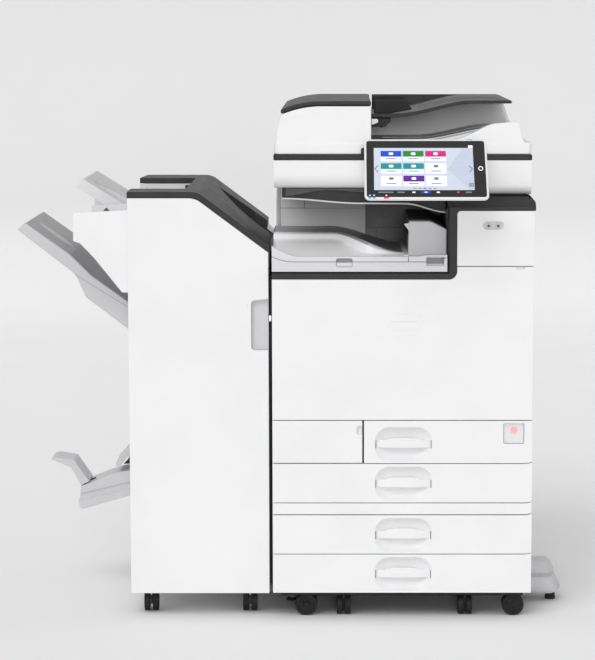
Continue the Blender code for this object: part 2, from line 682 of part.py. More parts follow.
def finisher_casing():
    """Base, back, both sides and top of the finisher, with the wings that flank its output tray."""
    front, low = 0.0345, FIN_BOTTOM
    top = LID_THICK + 0.0006
    made = piece(
        "finisher_casing",
        prism_mesh(rounded([(FIN_LEFT, low), (FIN_RIGHT, low), *roof(top)]), "Y", front, FIN_BACK),
        WHITE,
    )
    left, right = FIN_LEFT + WALL, FIN_RIGHT - WALL
    hollow = rounded([(left, low + WALL), (right, low + WALL), *roof(top + WALL, left, right)])
    cut(made, prism_mesh(hollow, "Y", front - 0.01, FIN_BACK - WALL))
    wing = [
        (FIN_LEFT + 0.004, 0.9246), (FIN_LEFT + 0.004, 0.7364), (-0.3412, 0.7371), (-0.4036, 0.8156),
        (-0.4348, 0.8486), (-0.4505, 0.8542), (-0.4496, 0.9176),
    ]
    join(made, prism_mesh(wing, "Y", 0.078, 0.088), prism_mesh(wing, "Y", 0.552, 0.562))
    half = OUTPUT_WIDTH / 2
    for wall, low, high in ((FIN_LEFT, 0.846, 0.876), (FIN_LEFT, 0.320, 0.352), (FIN_RIGHT, 0.796, 0.814)):
        slot_low = (wall - 0.02, FIN_MIDDLE - half, low)
        cut(made, box_mesh(slot_low, (wall + 0.02, FIN_MIDDLE + half, high)))


def finisher_door():
    body = empty("finisher_door_pivot", (FIN_LEFT + 0.0046, FIN_FRONT + HINGE_INSET, 0.500), MACHINE)
    left, right, low = FIN_LEFT + 0.0006, FIN_RIGHT - 0.0006, FIN_BOTTOM + 0.0006
    outline = rounded([(left, low), (right, low), *roof(LID_THICK + 0.0012, left, right)])
    made = piece("finisher_door", prism_mesh(outline, "Y", FIN_FRONT, 0.033), WHITE, body, bevel=0.003)
    grip = rounded([(-0.0470, 0.614, 0.010), (0.010, 0.614), (0.010, 0.732), (-0.0470, 0.7265, 0.010)])
    cut(made, prism_mesh(grip, "Y", 0.005, 0.027))


def finisher_lid():
    """The dark lid that follows the roof, open over the upper exit at its left."""
    body = empty("finisher_lid_pivot", (-0.165, FIN_BACK - 0.0005, FIN_TOP - LID_THICK), MACHINE)
    outline = rounded([*roof(0.0), *reversed(roof(LID_THICK))])
    made = piece("finisher_lid", prism_mesh(outline, "Y", FIN_FRONT, FIN_BACK), DARK, body)
    cut(made, box_mesh((FIN_LEFT - 0.01, 0.125, 0.90), (LID_NOTCH, 0.500, 1.0)))


def output_trays():
    low_y, high_y = FIN_MIDDLE - OUTPUT_WIDTH / 2, FIN_MIDDLE + OUTPUT_WIDTH / 2
    inner = FIN_LEFT - 0.002
    upper = rounded([(inner, 0.8889), (inner, 0.9200), (-0.4369, 0.9901, 0.004), (-0.4509, 0.9720, 0.004)])
    piece("upper_tray", prism_mesh(upper, "Y", low_y + 0.01, high_y - 0.01), GREY)
    body = empty("shift_tray_pivot", (inner, FIN_MIDDLE, 0.700), MACHINE)
    lower = rounded([
        (inner, 0.6370), (inner, 0.7008), (-0.4182, 0.7686), (-0.4655, 0.8161), (-0.5685, 0.8899, 0.004),
        (OUTPUT_TIP, 0.8734), (-0.4579, 0.7741), (-0.4538, 0.7709), (-0.4306, 0.7182),
    ])
    piece("shift_tray", prism_mesh(lower, "Y", low_y, high_y), GREY, body)


def booklet_output():
    low_y, high_y = FIN_MIDDLE - BOOKLET_WIDTH / 2, FIN_MIDDLE + BOOKLET_WIDTH / 2
    inner = FIN_LEFT - 0.0006
    tray = [
        (inner, 0.2370), (inner, 0.2945), (-0.3690, 0.2870), (-0.3999, 0.2774), (-0.4631, 0.2521),
        (-0.4634, 0.2340), (-0.4684, 0.2171), (-0.4655, 0.2030), (-0.4595, 0.1971),
    ]
    piece("booklet_tray", prism_mesh(tray, "Y", low_y, high_y), GREY)
    body = empty("booklet_stopper_pivot", (-0.4435, FIN_MIDDLE, 0.2650), MACHINE)
    stopper = rounded([
        (-0.4425, 0.2635), (-0.4780, 0.3152, 0.008), (-0.5215, 0.3220), (-0.5336, 0.3178),
        (-0.4855, 0.2975, 0.008), (-0.4620, 0.2545),
    ])
    piece("booklet_stopper", prism_mesh(stopper, "Y", low_y + 0.003, high_y - 0.003), GREY, body)


def stapler_unit():
    made = piece("stapler_unit", box_mesh((-0.260, 0.120, 0.560), (-0.090, 0.6185, 0.760)), STEEL, bevel=0.006, segments=1)
    cut(made, box_mesh((-0.27, 0.100, 0.650), (-0.150, 0.560, 0.680)))


# ---------------------------------------------------------------- running gear


def caster(name, x, y, top, rolls_along):
    """A twin-wheel caster: a swivelling fork between two wheels on one axle. (x, y) is under the axle."""
    across = {"X": "Y", "Y": "X"}[rolls_along]
    lead = Vector((CASTER_TRAIL, 0, 0)) if rolls_along == "X" else Vector((0, -CASTER_TRAIL, 0))
    side = Vector((0, 1, 0)) if across == "Y" else Vector((1, 0, 0))
    centre = Vector((x, y, WHEEL_RADIUS))
    stem = Vector((x, y, 0)) + lead
    swivel = empty(f"{name}_swivel", (stem.x, stem.y, top), MACHINE)
    web = CASTER_WIDTH - 2 * WHEEL_WIDTH - 0.001
    fork = piece(f"{name}_fork", cylinder_mesh(centre, 0.020, web, across, 16), DARK, swivel, smooth=True)
    stem_low = 0.034
    reach = (stem - centre).xy.length
    post = Vector((0, 0, (stem_low + top) / 2)) + Vector((stem.x, stem.y, 0))
    join(fork, cylinder_mesh(post, web / 2, top - stem_low, "Z", 12))
    half = lead.normalized() * (reach + web / 2) + side * (web / 2 - 0.0005)
    plate_low = Vector((x, y, stem_low)) - side * (web / 2 - 0.0005)
    plate_high = Vector((x, y, 0.0405)) + half
    ordered = [sorted(pair) for pair in zip(plate_low, plate_high)]
    join(fork, box_mesh([pair[0] for pair in ordered], [pair[1] for pair in ordered]))
    cut(fork, cylinder_mesh(centre, AXLE_RADIUS + 0.0005, 0.05, across, 16))
    spin = empty(f"{name}_axle", centre, swivel)
    wheels = piece(f"{name}_wheels", cylinder_mesh(centre, AXLE_RADIUS, CASTER_WIDTH - 0.002, across, 12), RUBBER, spin, smooth=True)
    for way in (-1, 1):
        hub = centre + side * way * (CASTER_WIDTH - WHEEL_WIDTH) / 2
        join(wheels, cylinder_mesh(hub, WHEEL_RADIUS, WHEEL_WIDTH, across, 28))


def casters():
    for row, y in (("front", 0.0488), ("rear", 0.540)):
        for side, x in (("left", 0.0755), ("right", 0.5477)):
            caster(f"caster_printer_{row}_{side}", x, y, BASE_BOTTOM - GAP, "X")
    for row, y in (("front", 0.0856), ("rear", 0.560)):
        for side, x in (("left", -0.281), ("right", -0.054)):
            caster(f"caster_finisher_{row}_{side}", x, y, FIN_BOTTOM - GAP, "Y")


def stabiliser():
    """The two-tier foot that keeps the bank from tipping to the right."""
    inner = WIDTH + 0.0005
    lower = [(inner, 0.0215), (0.6600, 0.0215), (STABILISER_END, 0.0290), (0.6554, 0.0608), (inner, 0.0612)]
    upper = [(inner, 0.0550), (0.6590, 0.0550), (0.6566, 0.0640), (0.6466, 0.0875), (0.6414, 0.0897), (inner, 0.0905)]
    made = piece("stabiliser_foot", prism_mesh(lower, "Y", 0.150, 0.250), GREY)
    join(made, prism_mesh(upper, "Y", 0.195, 0.247), cylinder_mesh((0.6465, 0.199, 0.0150), 0.0125, 0.030, "Z", 16))


def build():
    for make in (
        base_plate, inner_frame, casing_shell, upper_right_cover, dark_trim, cavity_housing, front_door,
        waste_toner_cover, power_switch, drawers, process_unit, fuser_unit, duplex_door, bridge_body,
        bridge_cover, exit_block, scanner_housing, scan_carriage, document_feeder, operation_panel,
        finisher_casing, finisher_door, finisher_lid, output_trays, booklet_output, stapler_unit, casters,
        stabiliser,
    ):
        make()


build()
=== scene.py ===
"""The looks of the multifunction copier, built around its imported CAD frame.

Shapes are drawn in the machine's own frame, in metres: X = 0 is the printer's left side, Y = 0 the face of
its front covers and Z = 0 the floor. ORIGIN carries them into the frame's coordinates.
"""

import math

import bmesh
import bpy
from mathutils import Matrix, Vector


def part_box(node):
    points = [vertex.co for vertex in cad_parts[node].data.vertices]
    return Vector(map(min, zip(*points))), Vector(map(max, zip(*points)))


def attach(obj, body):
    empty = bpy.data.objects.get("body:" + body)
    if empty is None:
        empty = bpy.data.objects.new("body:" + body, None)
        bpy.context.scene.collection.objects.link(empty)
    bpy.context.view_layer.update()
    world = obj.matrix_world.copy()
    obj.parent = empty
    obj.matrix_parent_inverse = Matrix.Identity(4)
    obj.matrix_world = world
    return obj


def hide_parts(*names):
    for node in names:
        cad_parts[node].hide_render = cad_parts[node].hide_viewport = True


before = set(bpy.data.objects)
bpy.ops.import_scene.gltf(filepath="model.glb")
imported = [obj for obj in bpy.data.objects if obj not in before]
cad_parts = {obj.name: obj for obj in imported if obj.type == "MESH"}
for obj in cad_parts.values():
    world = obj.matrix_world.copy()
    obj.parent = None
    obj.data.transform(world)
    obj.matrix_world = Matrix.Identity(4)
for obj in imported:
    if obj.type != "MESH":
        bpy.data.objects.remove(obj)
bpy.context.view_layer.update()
ORIGIN = Vector((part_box("casing_shell")[0][0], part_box("front_door")[0][1], 0.0))

# Printer and paper bank
WIDTH = 0.587
DEPTH = 0.605
SEAM = 0.0018
BODY_BOTTOM = 0.0598
BANK_SEAM = 0.15
BANK_TOP = 0.2404
PRINTER_BOTTOM = 0.2679
DRAWER_SEAM = 0.3582
DOOR_BOTTOM = 0.4566
TRIM_BOTTOM = 0.776
CAVITY_FLOOR = 0.792
RIGHT_COVER_BOTTOM = 0.8047
BAND_BOTTOM = 0.929
TRIM_TOP = 0.958
TRIM_LEFT = 0.3934
TRIM_RIGHT = 0.4134
SMALL_DRAWER_LEFT = 0.205
CAVITY_BACK = 0.4
TURN_UP = 0.0026
GRIP_X = 0.2958
GRIP_RISE = 0.0437
SWITCH_X, SWITCH_Z, SWITCH_SIZE = 0.544, 0.4265, 0.0448
SENSOR_X, SENSOR_Z = 0.4944, 0.896

# Scanner, feeder and panel
SCANNER_LEFT, SCANNER_RIGHT = 0.005, 0.5815
SCANNER_FRONT, SCANNER_BACK = 0.04, 0.6
SCANNER_BOTTOM, SCANNER_TOP = 0.9755, 1.0505
FEEDER_STEP, FEEDER_TOP = 1.0775, 1.17
FEED_RIGHT = 0.2225
PANEL_LEFT, PANEL_WIDTH, PANEL_LENGTH = 0.2062, 0.271, 0.187
PANEL_LEAN = math.radians(49)
PANEL_TOP_Y, PANEL_TOP_Z = 0.012, 1.0875

# Finisher
FIN_LEFT, FIN_RIGHT = -0.3226, -0.0074
FIN_FRONT, FIN_BACK = 0.015, 0.625
FIN_BOTTOM, FIN_TOP, FIN_LOW = 0.0555, 0.9696, 0.8515
FIN_BEND = -0.1655
ROOF_SLOPE = (FIN_TOP - FIN_LOW) / (FIN_RIGHT - FIN_BEND)
LID_THICK = 0.013
LID_NOTCH = -0.1977
FIN_MIDDLE = 0.32

# The photo's camera: where it stands, how many degrees it looks down, and its lens and shift
CAMERA_PLACE = (0.15964, -5.3252, 1.3456)
CAMERA_DIP = 7.318
CAMERA_LENS = 130.9
CAMERA_SHIFT = -0.069

AXES = {"X": (1, 2), "Y": (0, 2), "Z": (0, 1)}  # the two axes of an outline swept along the key


# ---------------------------------------------------------------- materials


def noise(tree, coordinates, scale, detail=3.0, stretch=None):
    """A noise texture's value over the coordinates."""
    made = tree.nodes.new("ShaderNodeTexNoise")
    made.inputs["Scale"].default_value = scale
    made.inputs["Detail"].default_value = detail
    if stretch:
        mapping = tree.nodes.new("ShaderNodeMapping")
        mapping.inputs["Scale"].default_value = stretch
        tree.links.new(coordinates, mapping.inputs["Vector"])
        coordinates = mapping.outputs["Vector"]
    tree.links.new(coordinates, made.inputs["Vector"])
    return made.outputs["Fac"]


def remap(tree, value, low, high, from_low=0.3, from_high=0.7):
    """A value carried from one range to another."""
    made = tree.nodes.new("ShaderNodeMapRange")
    made.inputs["From Min"].default_value = from_low
    made.inputs["From Max"].default_value = from_high
    made.inputs["To Min"].default_value = low
    made.inputs["To Max"].default_value = high
    tree.links.new(value, made.inputs["Value"])
    return made.outputs["Result"]


def mixed(tree, factor, first, second):
    """A colour between two, each given as a triple or as another node's output."""
    made = tree.nodes.new("ShaderNodeMix")
    made.data_type = "RGBA"
    tree.links.new(factor, made.inputs["Factor"])
    for socket, colour in ((made.inputs[6], first), (made.inputs[7], second)):
        if isinstance(colour, tuple):
            socket.default_value = (*colour, 1.0)
        else:
            tree.links.new(colour, socket)
    return made.outputs[2]


def shade(colour, factor):
    """A colour made darker or lighter."""
    return tuple(min(1.0, channel * factor) for channel in colour)


def blank(name):
    """A new material with its node tree, its shader and its object coordinates."""
    made = bpy.data.materials.new(name)
    made.use_nodes = True
    tree = made.node_tree
    coordinates = tree.nodes.new("ShaderNodeTexCoord").outputs["Object"]
    return made, tree, tree.nodes["Principled BSDF"], coordinates


def bump(tree, shader, height, strength, distance):
    """Fine relief on a shader, from a height."""
    made = tree.nodes.new("ShaderNodeBump")
    made.inputs["Strength"].default_value = strength
    made.inputs["Distance"].default_value = distance
    tree.links.new(height, made.inputs["Height"])
    tree.links.new(made.outputs["Normal"], shader.inputs["Normal"])


def plastic(name, colour, roughness, grain=0.25, pitch=1500, mottle=0.025, specular=0.5):
    """Moulded plastic: a fine spark-eroded grain, faint flow marks in its colour and an uneven sheen."""
    made, tree, shader, coordinates = blank(name)
    flow = noise(tree, coordinates, 7.0, 4.0)
    tone = mixed(tree, remap(tree, flow, 0.0, 1.0), shade(colour, 1 - mottle), shade(colour, 1 + mottle))
    specks = remap(tree, noise(tree, coordinates, pitch * 0.4, 1.0), 0.0, 1.0, 0.68, 0.78)
    tree.links.new(mixed(tree, specks, tone, shade(colour, 1 - 3 * mottle)), shader.inputs["Base Color"])
    sheen = remap(tree, noise(tree, coordinates, 35.0, 5.0), roughness * 0.88, min(1.0, roughness * 1.12))
    tree.links.new(sheen, shader.inputs["Roughness"])
    shader.inputs["Specular IOR Level"].default_value = specular
    bump(tree, shader, noise(tree, coordinates, pitch, 2.0), grain, 0.00012)
    return made


def metal(name, colour, roughness, stretch=(1.0, 1.0, 30.0)):
    """Zinc-plated sheet: brushed along one way, with a cloudy sheen."""
    made, tree, shader, coordinates = blank(name)
    shader.inputs["Metallic"].default_value = 1.0
    brushed = noise(tree, coordinates, 90.0, 5.0, stretch)
    clouds = noise(tree, coordinates, 14.0, 4.0)
    tone = mixed(tree, remap(tree, clouds, 0, 1), shade(colour, 0.86), shade(colour, 1.08))
    tree.links.new(tone, shader.inputs["Base Color"])
    tree.links.new(remap(tree, brushed, roughness * 0.75, roughness * 1.3), shader.inputs["Roughness"])
    bump(tree, shader, brushed, 0.15, 0.0001)
    return made


def rubber(name, colour):
    """Black rubber, dusted grey in patches."""
    made, tree, shader, coordinates = blank(name)
    dust = remap(tree, noise(tree, coordinates, 40.0, 6.0), 0.0, 1.0, 0.45, 0.8)
    tree.links.new(mixed(tree, dust, colour, shade(colour, 1.8)), shader.inputs["Base Color"])
    tree.links.new(remap(tree, noise(tree, coordinates, 120.0), 0.55, 0.8), shader.inputs["Roughness"])
    shader.inputs["Specular IOR Level"].default_value = 0.35
    bump(tree, shader, noise(tree, coordinates, 700.0, 3.0), 0.25, 0.0002)
    return made


def glossy(name, colour, roughness=0.08, coat=0.6, emission=0.0, alpha=1.0, mottle=0.02):
    """A hard glossy surface, with faint smears in its sheen and, for a lamp or display, its own light."""
    made, tree, shader, coordinates = blank(name)
    smears = noise(tree, coordinates, 22.0, 6.0, (1.0, 3.0, 1.0))
    tone = mixed(tree, remap(tree, smears, 0, 1), shade(colour, 1 - mottle), shade(colour, 1 + mottle))
    tree.links.new(tone, shader.inputs["Base Color"])
    tree.links.new(remap(tree, smears, roughness * 0.6, roughness * 1.6), shader.inputs["Roughness"])
    shader.inputs["Coat Weight"].default_value = coat
    shader.inputs["Coat Roughness"].default_value = 0.03
    shader.inputs["Alpha"].default_value = alpha
    if emission:
        tree.links.new(tone, shader.inputs["Emission Color"])
        shader.inputs["Emission Strength"].default_value = emission
    bump(tree, shader, noise(tree, coordinates, 260.0), 0.02, 0.0001)
    return made


def backdrop_paper():
    """Pale paper whose tone follows the sweep, so that floor and backdrop come out equally light."""
    made, tree, shader, coordinates = blank("pale_floor")
    split = tree.nodes.new("ShaderNodeSeparateXYZ")
    tree.links.new(coordinates, split.inputs["Vector"])
    height = remap(tree, split.outputs["Z"], 0.0, 1.0, 0.0, 1.6)
    ramp = tree.nodes.new("ShaderNodeValToRGB")
    tree.links.new(height, ramp.inputs["Fac"])
    middle = ramp.color_ramp.elements.new(0.29)
    first, _, last = ramp.color_ramp.elements
    for stop, tone in ((first, 0.875), (middle, 0.7), (last, 0.715)):
        stop.color = (tone, tone, tone * 1.003, 1.0)
    cloud = remap(tree, noise(tree, coordinates, 3.0), 0.0, 0.03)
    tree.links.new(mixed(tree, cloud, ramp.outputs["Color"], (0.5, 0.5, 0.5)), shader.inputs["Base Color"])
    shader.inputs["Roughness"].default_value = 0.9
    shader.inputs["Specular IOR Level"].default_value = 0.1
    return made


# Each look is a material and the record's material slot that it belongs to.
WHITE = (plastic("white_moulded", (0.805, 0.805, 0.812), 0.42), "white_plastic")
EXIT = (plastic("exit_grey_moulded", (0.68, 0.68, 0.69), 0.42), "grey_plastic")
PALE = (plastic("pale_grey_moulded", (0.6, 0.6, 0.61), 0.45), "grey_plastic")
LEDGE = (plastic("ledge_grey_moulded", (0.63, 0.63, 0.64), 0.42), "grey_plastic")
# A lighter grey for the exit plateau and the floor beside it: painted light, against the shade of the scanner
# over them.
SURFACE_PAINTED_LIGHT = (plastic("surface_grey_painted_light", (0.86, 0.86, 0.87), 0.45), "grey_plastic")
TRAY = (plastic("tray_grey_moulded", (0.55, 0.55, 0.56), 0.42, grain=0.35), "grey_plastic")
INNER = (plastic("inner_grey_moulded", (0.23, 0.23, 0.24), 0.5, grain=0.4), "inner_grey_plastic")
# A darker grey used as painted shade: on the shift tray's top and on the guide behind the exit surface.
BED_PAINTED_SHADE = (plastic("bed_grey_painted_shade", (0.33, 0.33, 0.34), 0.42, grain=0.35), "grey_plastic")
# A dark grey: the cavity's walls and right-hand panels, the fuser and one toner cap, and as painted shade the
# grip slots and the exit block's rear.
SHADOW = (plastic("cavity_grey_and_painted_shade", (0.15, 0.15, 0.155), 0.5, grain=0.4), "inner_grey_plastic")
CAVITY = (plastic("cavity_wall_moulded", (0.68, 0.68, 0.69), 0.5, grain=0.4), "inner_grey_plastic")
DARK = (
    plastic("dark_moulded", (0.026, 0.026, 0.027), 0.48, grain=0.12, mottle=0.03, specular=0.28),
    "dark_plastic",
)
SLATE = (
    plastic("slate_moulded", (0.075, 0.075, 0.077), 0.5, grain=0.35, mottle=0.05, specular=0.3),
    "dark_plastic",
)
BLACK = (plastic("black_moulded", (0.01, 0.01, 0.011), 0.5, mottle=0.06, specular=0.25), "dark_plastic")
STEEL = (metal("zinc_sheet", (0.62, 0.63, 0.64), 0.34), "zinc_steel")
RUBBER = (rubber("black_rubber", (0.008, 0.008, 0.009)), "black_rubber")
GLASS = (glossy("platen_glass", (0.62, 0.68, 0.68), 0.04, alpha=0.35), "platen_glass")
SMOKED = (glossy("frosted_flap", (0.92, 0.93, 0.94), 0.2, coat=0.2, alpha=0.16), "grey_plastic")
BEZEL = (glossy("bezel_glass", (0.01, 0.01, 0.011), 0.22, coat=0.15), "dark_plastic")
DISPLAY = (glossy("display_pale", (0.47, 0.51, 0.6), 0.25, coat=0.1, emission=0.42), "touch_screen")
DISPLAY_FACET = (glossy("display_facet", (0.41, 0.455, 0.55), 0.25, coat=0.1, emission=0.42), "touch_screen")


def lamp(name, colour, strength=0.5):
    """A mark on the display that gives a little light of its own."""
    return (glossy(name, colour, 0.25, coat=0.1, emission=strength), "touch_screen")


TILE_WHITE = lamp("tile_white", (0.8, 0.82, 0.86), 0.3)
TILE_BLUE = lamp("tile_blue", (0.003, 0.055, 0.5), 0.4)
TILE_GREEN = lamp("tile_green", (0.01, 0.2, 0.006), 0.4)
TILE_PINK = lamp("tile_pink", (0.55, 0.003, 0.17), 0.4)
TILE_TEAL = lamp("tile_teal", (0.003, 0.22, 0.235), 0.4)
TILE_PURPLE = lamp("tile_purple", (0.08, 0.012, 0.22), 0.4)
TILE_GREY = lamp("tile_grey", (0.16, 0.175, 0.2), 0.3)
LED_BLUE = lamp("led_blue", (0.01, 0.22, 0.62), 0.6)
LED_RED = lamp("led_red", (0.72, 0.02, 0.02), 0.6)
SWITCH_GLOW = lamp("switch_glow", (1.0, 0.14, 0.15), 1.0)
CYAN = (plastic("toner_cyan", (0.02, 0.3, 0.5), 0.35), "inner_grey_plastic")
MAGENTA = (plastic("toner_magenta", (0.5, 0.02, 0.18), 0.35), "inner_grey_plastic")
YELLOW = (plastic("toner_yellow", (0.75, 0.52, 0.03), 0.35), "inner_grey_plastic")
GREEN = (plastic("lever_green", (0.05, 0.32, 0.12), 0.35), "inner_grey_plastic")


# ---------------------------------------------------------------- shapes


def to_mesh(shape):
    mesh = bpy.data.meshes.new("shape")
    shape.to_mesh(mesh)
    shape.free()
    return mesh


def block(low, high):
    """A box between two corners."""
    low, high = Vector(low), Vector(high)
    shape = bmesh.new()
    bmesh.ops.create_cube(shape, size=1.0)
    bmesh.ops.scale(shape, vec=high - low, verts=shape.verts)
    bmesh.ops.translate(shape, vec=(low + high) / 2, verts=shape.verts)
    return to_mesh(shape)


def rod(centre, radius, length, axis, segments=40, end_radius=None):
    """A cylinder, or a cone if its end has another radius, about its centre."""
    turn = {
        "X": Matrix.Rotation(math.pi / 2, 4, "Y"), "Y": Matrix.Rotation(-math.pi / 2, 4, "X"),
        "Z": Matrix(),
    }
    shape = bmesh.new()
    bmesh.ops.create_cone(
        shape,
        cap_ends=True,
        segments=segments,
        radius1=radius,
        radius2=radius if end_radius is None else end_radius,
        depth=length,
        matrix=Matrix.Translation(centre) @ turn[axis],
    )
    return to_mesh(shape)


def place(outline, axis, along):
    """The points of an outline at one place along its axis."""
    first, second = AXES[axis]
    points = []
    for u, v in outline:
        point = [0.0, 0.0, 0.0]
        point[first], point[second], point["XYZ".index(axis)] = u, v, along
        points.append(Vector(point))
    return points


def loft(rings):
    """A closed body through rings of points, with a cap at each end."""
    shape = bmesh.new()
    made = [[shape.verts.new(point) for point in ring] for ring in rings]
    for near, far in zip(made, made[1:]):
        for index in range(len(near)):
            ahead = (index + 1) % len(near)
            shape.faces.new((near[index], near[ahead], far[ahead], far[index]))
    shape.faces.new(made[0])
    shape.faces.new(made[-1])
    bmesh.ops.recalc_face_normals(shape, faces=shape.faces)
    return to_mesh(shape)


def prism(outline, axis, start, end):
    """An outline swept along an axis."""
    return loft([place(outline, axis, start), place(outline, axis, end)])


def rounded(corners, steps=6):
    """Corners (u, v), or (u, v, radius) for a corner that is an arc, as the points of an outline."""
    points = []
    for index, corner in enumerate(corners):
        here = Vector(corner[:2])
        if len(corner) == 2:
            points.append(tuple(here))
            continue
        back = (Vector(corners[index - 1][:2]) - here).normalized()
        ahead = (Vector(corners[(index + 1) % len(corners)][:2]) - here).normalized()
        half = back.angle(ahead) / 2
        centre = here + (back + ahead).normalized() * (corner[2] / math.sin(half))
        start = here + back * (corner[2] / math.tan(half)) - centre
        end = here + ahead * (corner[2] / math.tan(half)) - centre
        sweep = math.atan2(start.x * end.y - start.y * end.x, start.dot(end))
        for step in range(steps + 1):
            points.append(tuple(centre + Matrix.Rotation(sweep * step / steps, 2) @ start))
    return points


def rectangle_corners(left, bottom, right, top):
    return [(left, bottom), (right, bottom), (right, top), (left, top)]


def rectangle(left, bottom, right, top, radius, steps=6):
    """A rectangle with rounded corners."""
    return rounded([(*corner, radius) for corner in rectangle_corners(left, bottom, right, top)], steps)


def oval(centre, radii, steps):
    """The points of an oval."""
    around = [step * 2 * math.pi / steps for step in range(steps)]
    return [(centre[0] + radii[0] * math.cos(a), centre[1] + radii[1] * math.sin(a)) for a in around]


def curve(function, start, end, steps):
    """Points (u, function(u)) at even steps of u."""
    return [
        (start + (end - start) * i / steps, function(start + (end - start) * i / steps))
        for i in range(steps + 1)
    ]


def ease(value):
    """A smooth rise from 0 to 1."""
    value = min(1.0, max(0.0, value))
    return value * value * (3 - 2 * value)


def between(points):
    """A smooth function through a few (x, z) points, level at each of them."""

    def height(x):
        for (x0, z0), (x1, z1) in zip(points, points[1:]):
            if x <= x1:
                return z0 + (z1 - z0) * ease((x - x0) / (x1 - x0))
        return points[-1][1]

    return height


def carved(mesh, cuts=(), joins=()):
    """The mesh after its Boolean joins and cuts, as a new mesh."""
    owner = bpy.data.objects.new("carving", mesh)
    bpy.context.scene.collection.objects.link(owner)
    tools = []
    for operation, shapes in (("UNION", joins), ("DIFFERENCE", cuts)):
        for shape in shapes:
            tool = bpy.data.objects.new("tool", shape)
            bpy.context.scene.collection.objects.link(tool)
            tools.append(tool)
            step = owner.modifiers.new("step", "BOOLEAN")
            step.operation = operation
            step.solver = "EXACT"
            step.object = tool
    bpy.context.view_layer.update()
    result = bpy.data.meshes.new_from_object(owner.evaluated_get(bpy.context.evaluated_depsgraph_get()))
    for thing in (owner, *tools):
        bpy.data.objects.remove(thing, do_unlink=True)
    return result


def piece(name, mesh, look, body="machine", stands_for=(), bevel=0.0008, segments=3, at_angle=38):
    """A piece of the machine, with its edges rounded, riding on a CAD body and standing for CAD nodes."""
    mesh.name = name
    mesh.transform(Matrix.Translation(ORIGIN))
    mesh.materials.clear()
    mesh.materials.append(look[0])
    mesh.shade_smooth()
    mesh.set_sharp_from_angle(angle=math.radians(at_angle))
    made = bpy.data.objects.new(name, mesh)
    bpy.context.scene.collection.objects.link(made)
    if bevel:
        edges = made.modifiers.new("rounded_edges", "BEVEL")
        edges.width = bevel
        edges.segments = segments
        edges.limit_method = "ANGLE"
        edges.angle_limit = math.radians(at_angle)
        edges.harden_normals = True
    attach(made, body)
    if stands_for:
        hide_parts(*stands_for)
    return made


def carry(node, look):
    """A CAD node whose shape is right keeps it and gets a finished material."""
    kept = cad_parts[node]
    kept.data.materials.clear()
    kept.data.materials.append(look[0])
    edges = kept.modifiers.new("rounded_edges", "BEVEL")
    edges.width = 0.0006
    edges.segments = 2
    edges.limit_method = "ANGLE"
    edges.angle_limit = math.radians(50)
    return kept


def screw_heads(name, places, axis, body="machine", radius=0.0036):
    """Cross-recessed pan heads, each with its recess cut, along an axis that points out of the sheet."""
    offset = {"X": Vector((0.0008, 0, 0)), "Y": Vector((0, 0.0008, 0)), "Z": Vector((0, 0, 0.0008))}[axis]
    for number, spot in enumerate(places):
        head = rod(Vector(spot) + offset, radius, 0.0022, axis, 24)
        middle, slots = Vector(spot) + offset * 2.2, []
        for along in AXES[axis]:
            half = Vector((0.0004, 0.0004, 0.0004))
            half["XYZ".index(axis)] = 0.002
            half[along] = radius * 0.62
            slots.append(block(middle - half, middle + half))
        piece(f"{name}_{number + 1}", carved(head, slots), STEEL, body, bevel=0.0004, segments=2)


# ---------------------------------------------------------------- printer covers


def seam_line(z, left, right, side):
    """A cover's edge beside a seam: level, and turned up where it meets the machine's right side. The seam
    under the front door stays level, as the door turns close above it."""
    rise = 0.0 if z == DOOR_BOTTOM else TURN_UP
    edge = curve(
        lambda x: z + side * SEAM / 2 + rise * ease((x - right + 0.014) / 0.014), right - 0.014, right, 7,
    )
    return [(left, z + side * SEAM / 2), *edge]


def front_door():
    """The large front door, with ribs on its inner face and a pull at its upper right."""
    left, right = SEAM / 2, WIDTH - SEAM / 2
    low_top, high_top = TRIM_BOTTOM - SEAM / 2, RIGHT_COVER_BOTTOM - SEAM / 2
    step, thick = TRIM_RIGHT + SEAM / 2, 0.016
    outline = rounded([
        *seam_line(DOOR_BOTTOM, left, right, 1), (right, high_top), (step, high_top),
        (step, low_top, 0.0186), (left, low_top),
    ], 10)
    pull = prism(rectangle(0.546, 0.7985, 0.566, 0.8095, 0.004), "Y", -0.002, 0.006)
    mesh = carved(prism(outline, "Y", 0.0, thick), [pull])
    piece("front_door_cover", mesh, WHITE, "front_door", ["front_door"], 0.0022, 4)
    badge_plate()
    for row in range(4):
        z = 0.5 + row * 0.08
        rib = block((0.03, thick - 0.001, z), (0.395, 0.0195, z + 0.003))
        piece(f"front_door_rib_{row + 1}", rib, WHITE, "front_door")
    for column in range(5):
        x = 0.04 + column * 0.085
        rib = block((x, thick - 0.001, 0.48), (x + 0.003, 0.019, 0.765))
        piece(f"front_door_upright_{column + 1}", rib, WHITE, "front_door")


def badge_plate():
    """A blank framed plate on the front door, with one plain bar in it."""
    badge = prism(rectangle(0.26, 0.662, 0.332, 0.699, 0.003), "Y", -0.0007, 0.001)
    window = prism(rectangle(0.262, 0.664, 0.33, 0.697, 0.002), "Y", -0.003, -0.0004)
    rule = block((0.266, -0.0009, 0.6804), (0.326, 0.0005, 0.6808))
    piece("front_badge_plate", carved(badge, [window]), WHITE, "front_door", bevel=0.0002, segments=2)
    piece("front_badge_rule", rule, PALE, "front_door", bevel=0.0001, segments=1)


def waste_toner_cover():
    """The small cover left of the top drawer, with a notch at its upper right corner."""
    low = (SEAM / 2, 0.0, DRAWER_SEAM + SEAM / 2)
    high = (SMALL_DRAWER_LEFT - SEAM, 0.016, DOOR_BOTTOM - SEAM / 2)
    pull = prism(rectangle(0.1915, 0.4245, 0.21, 0.443, 0.004), "Y", -0.002, 0.0075)
    mesh = carved(block(low, high), [pull])
    piece("waste_toner_front", mesh, WHITE, "waste_toner_cover", ["waste_toner_cover"], 0.0022, 4)


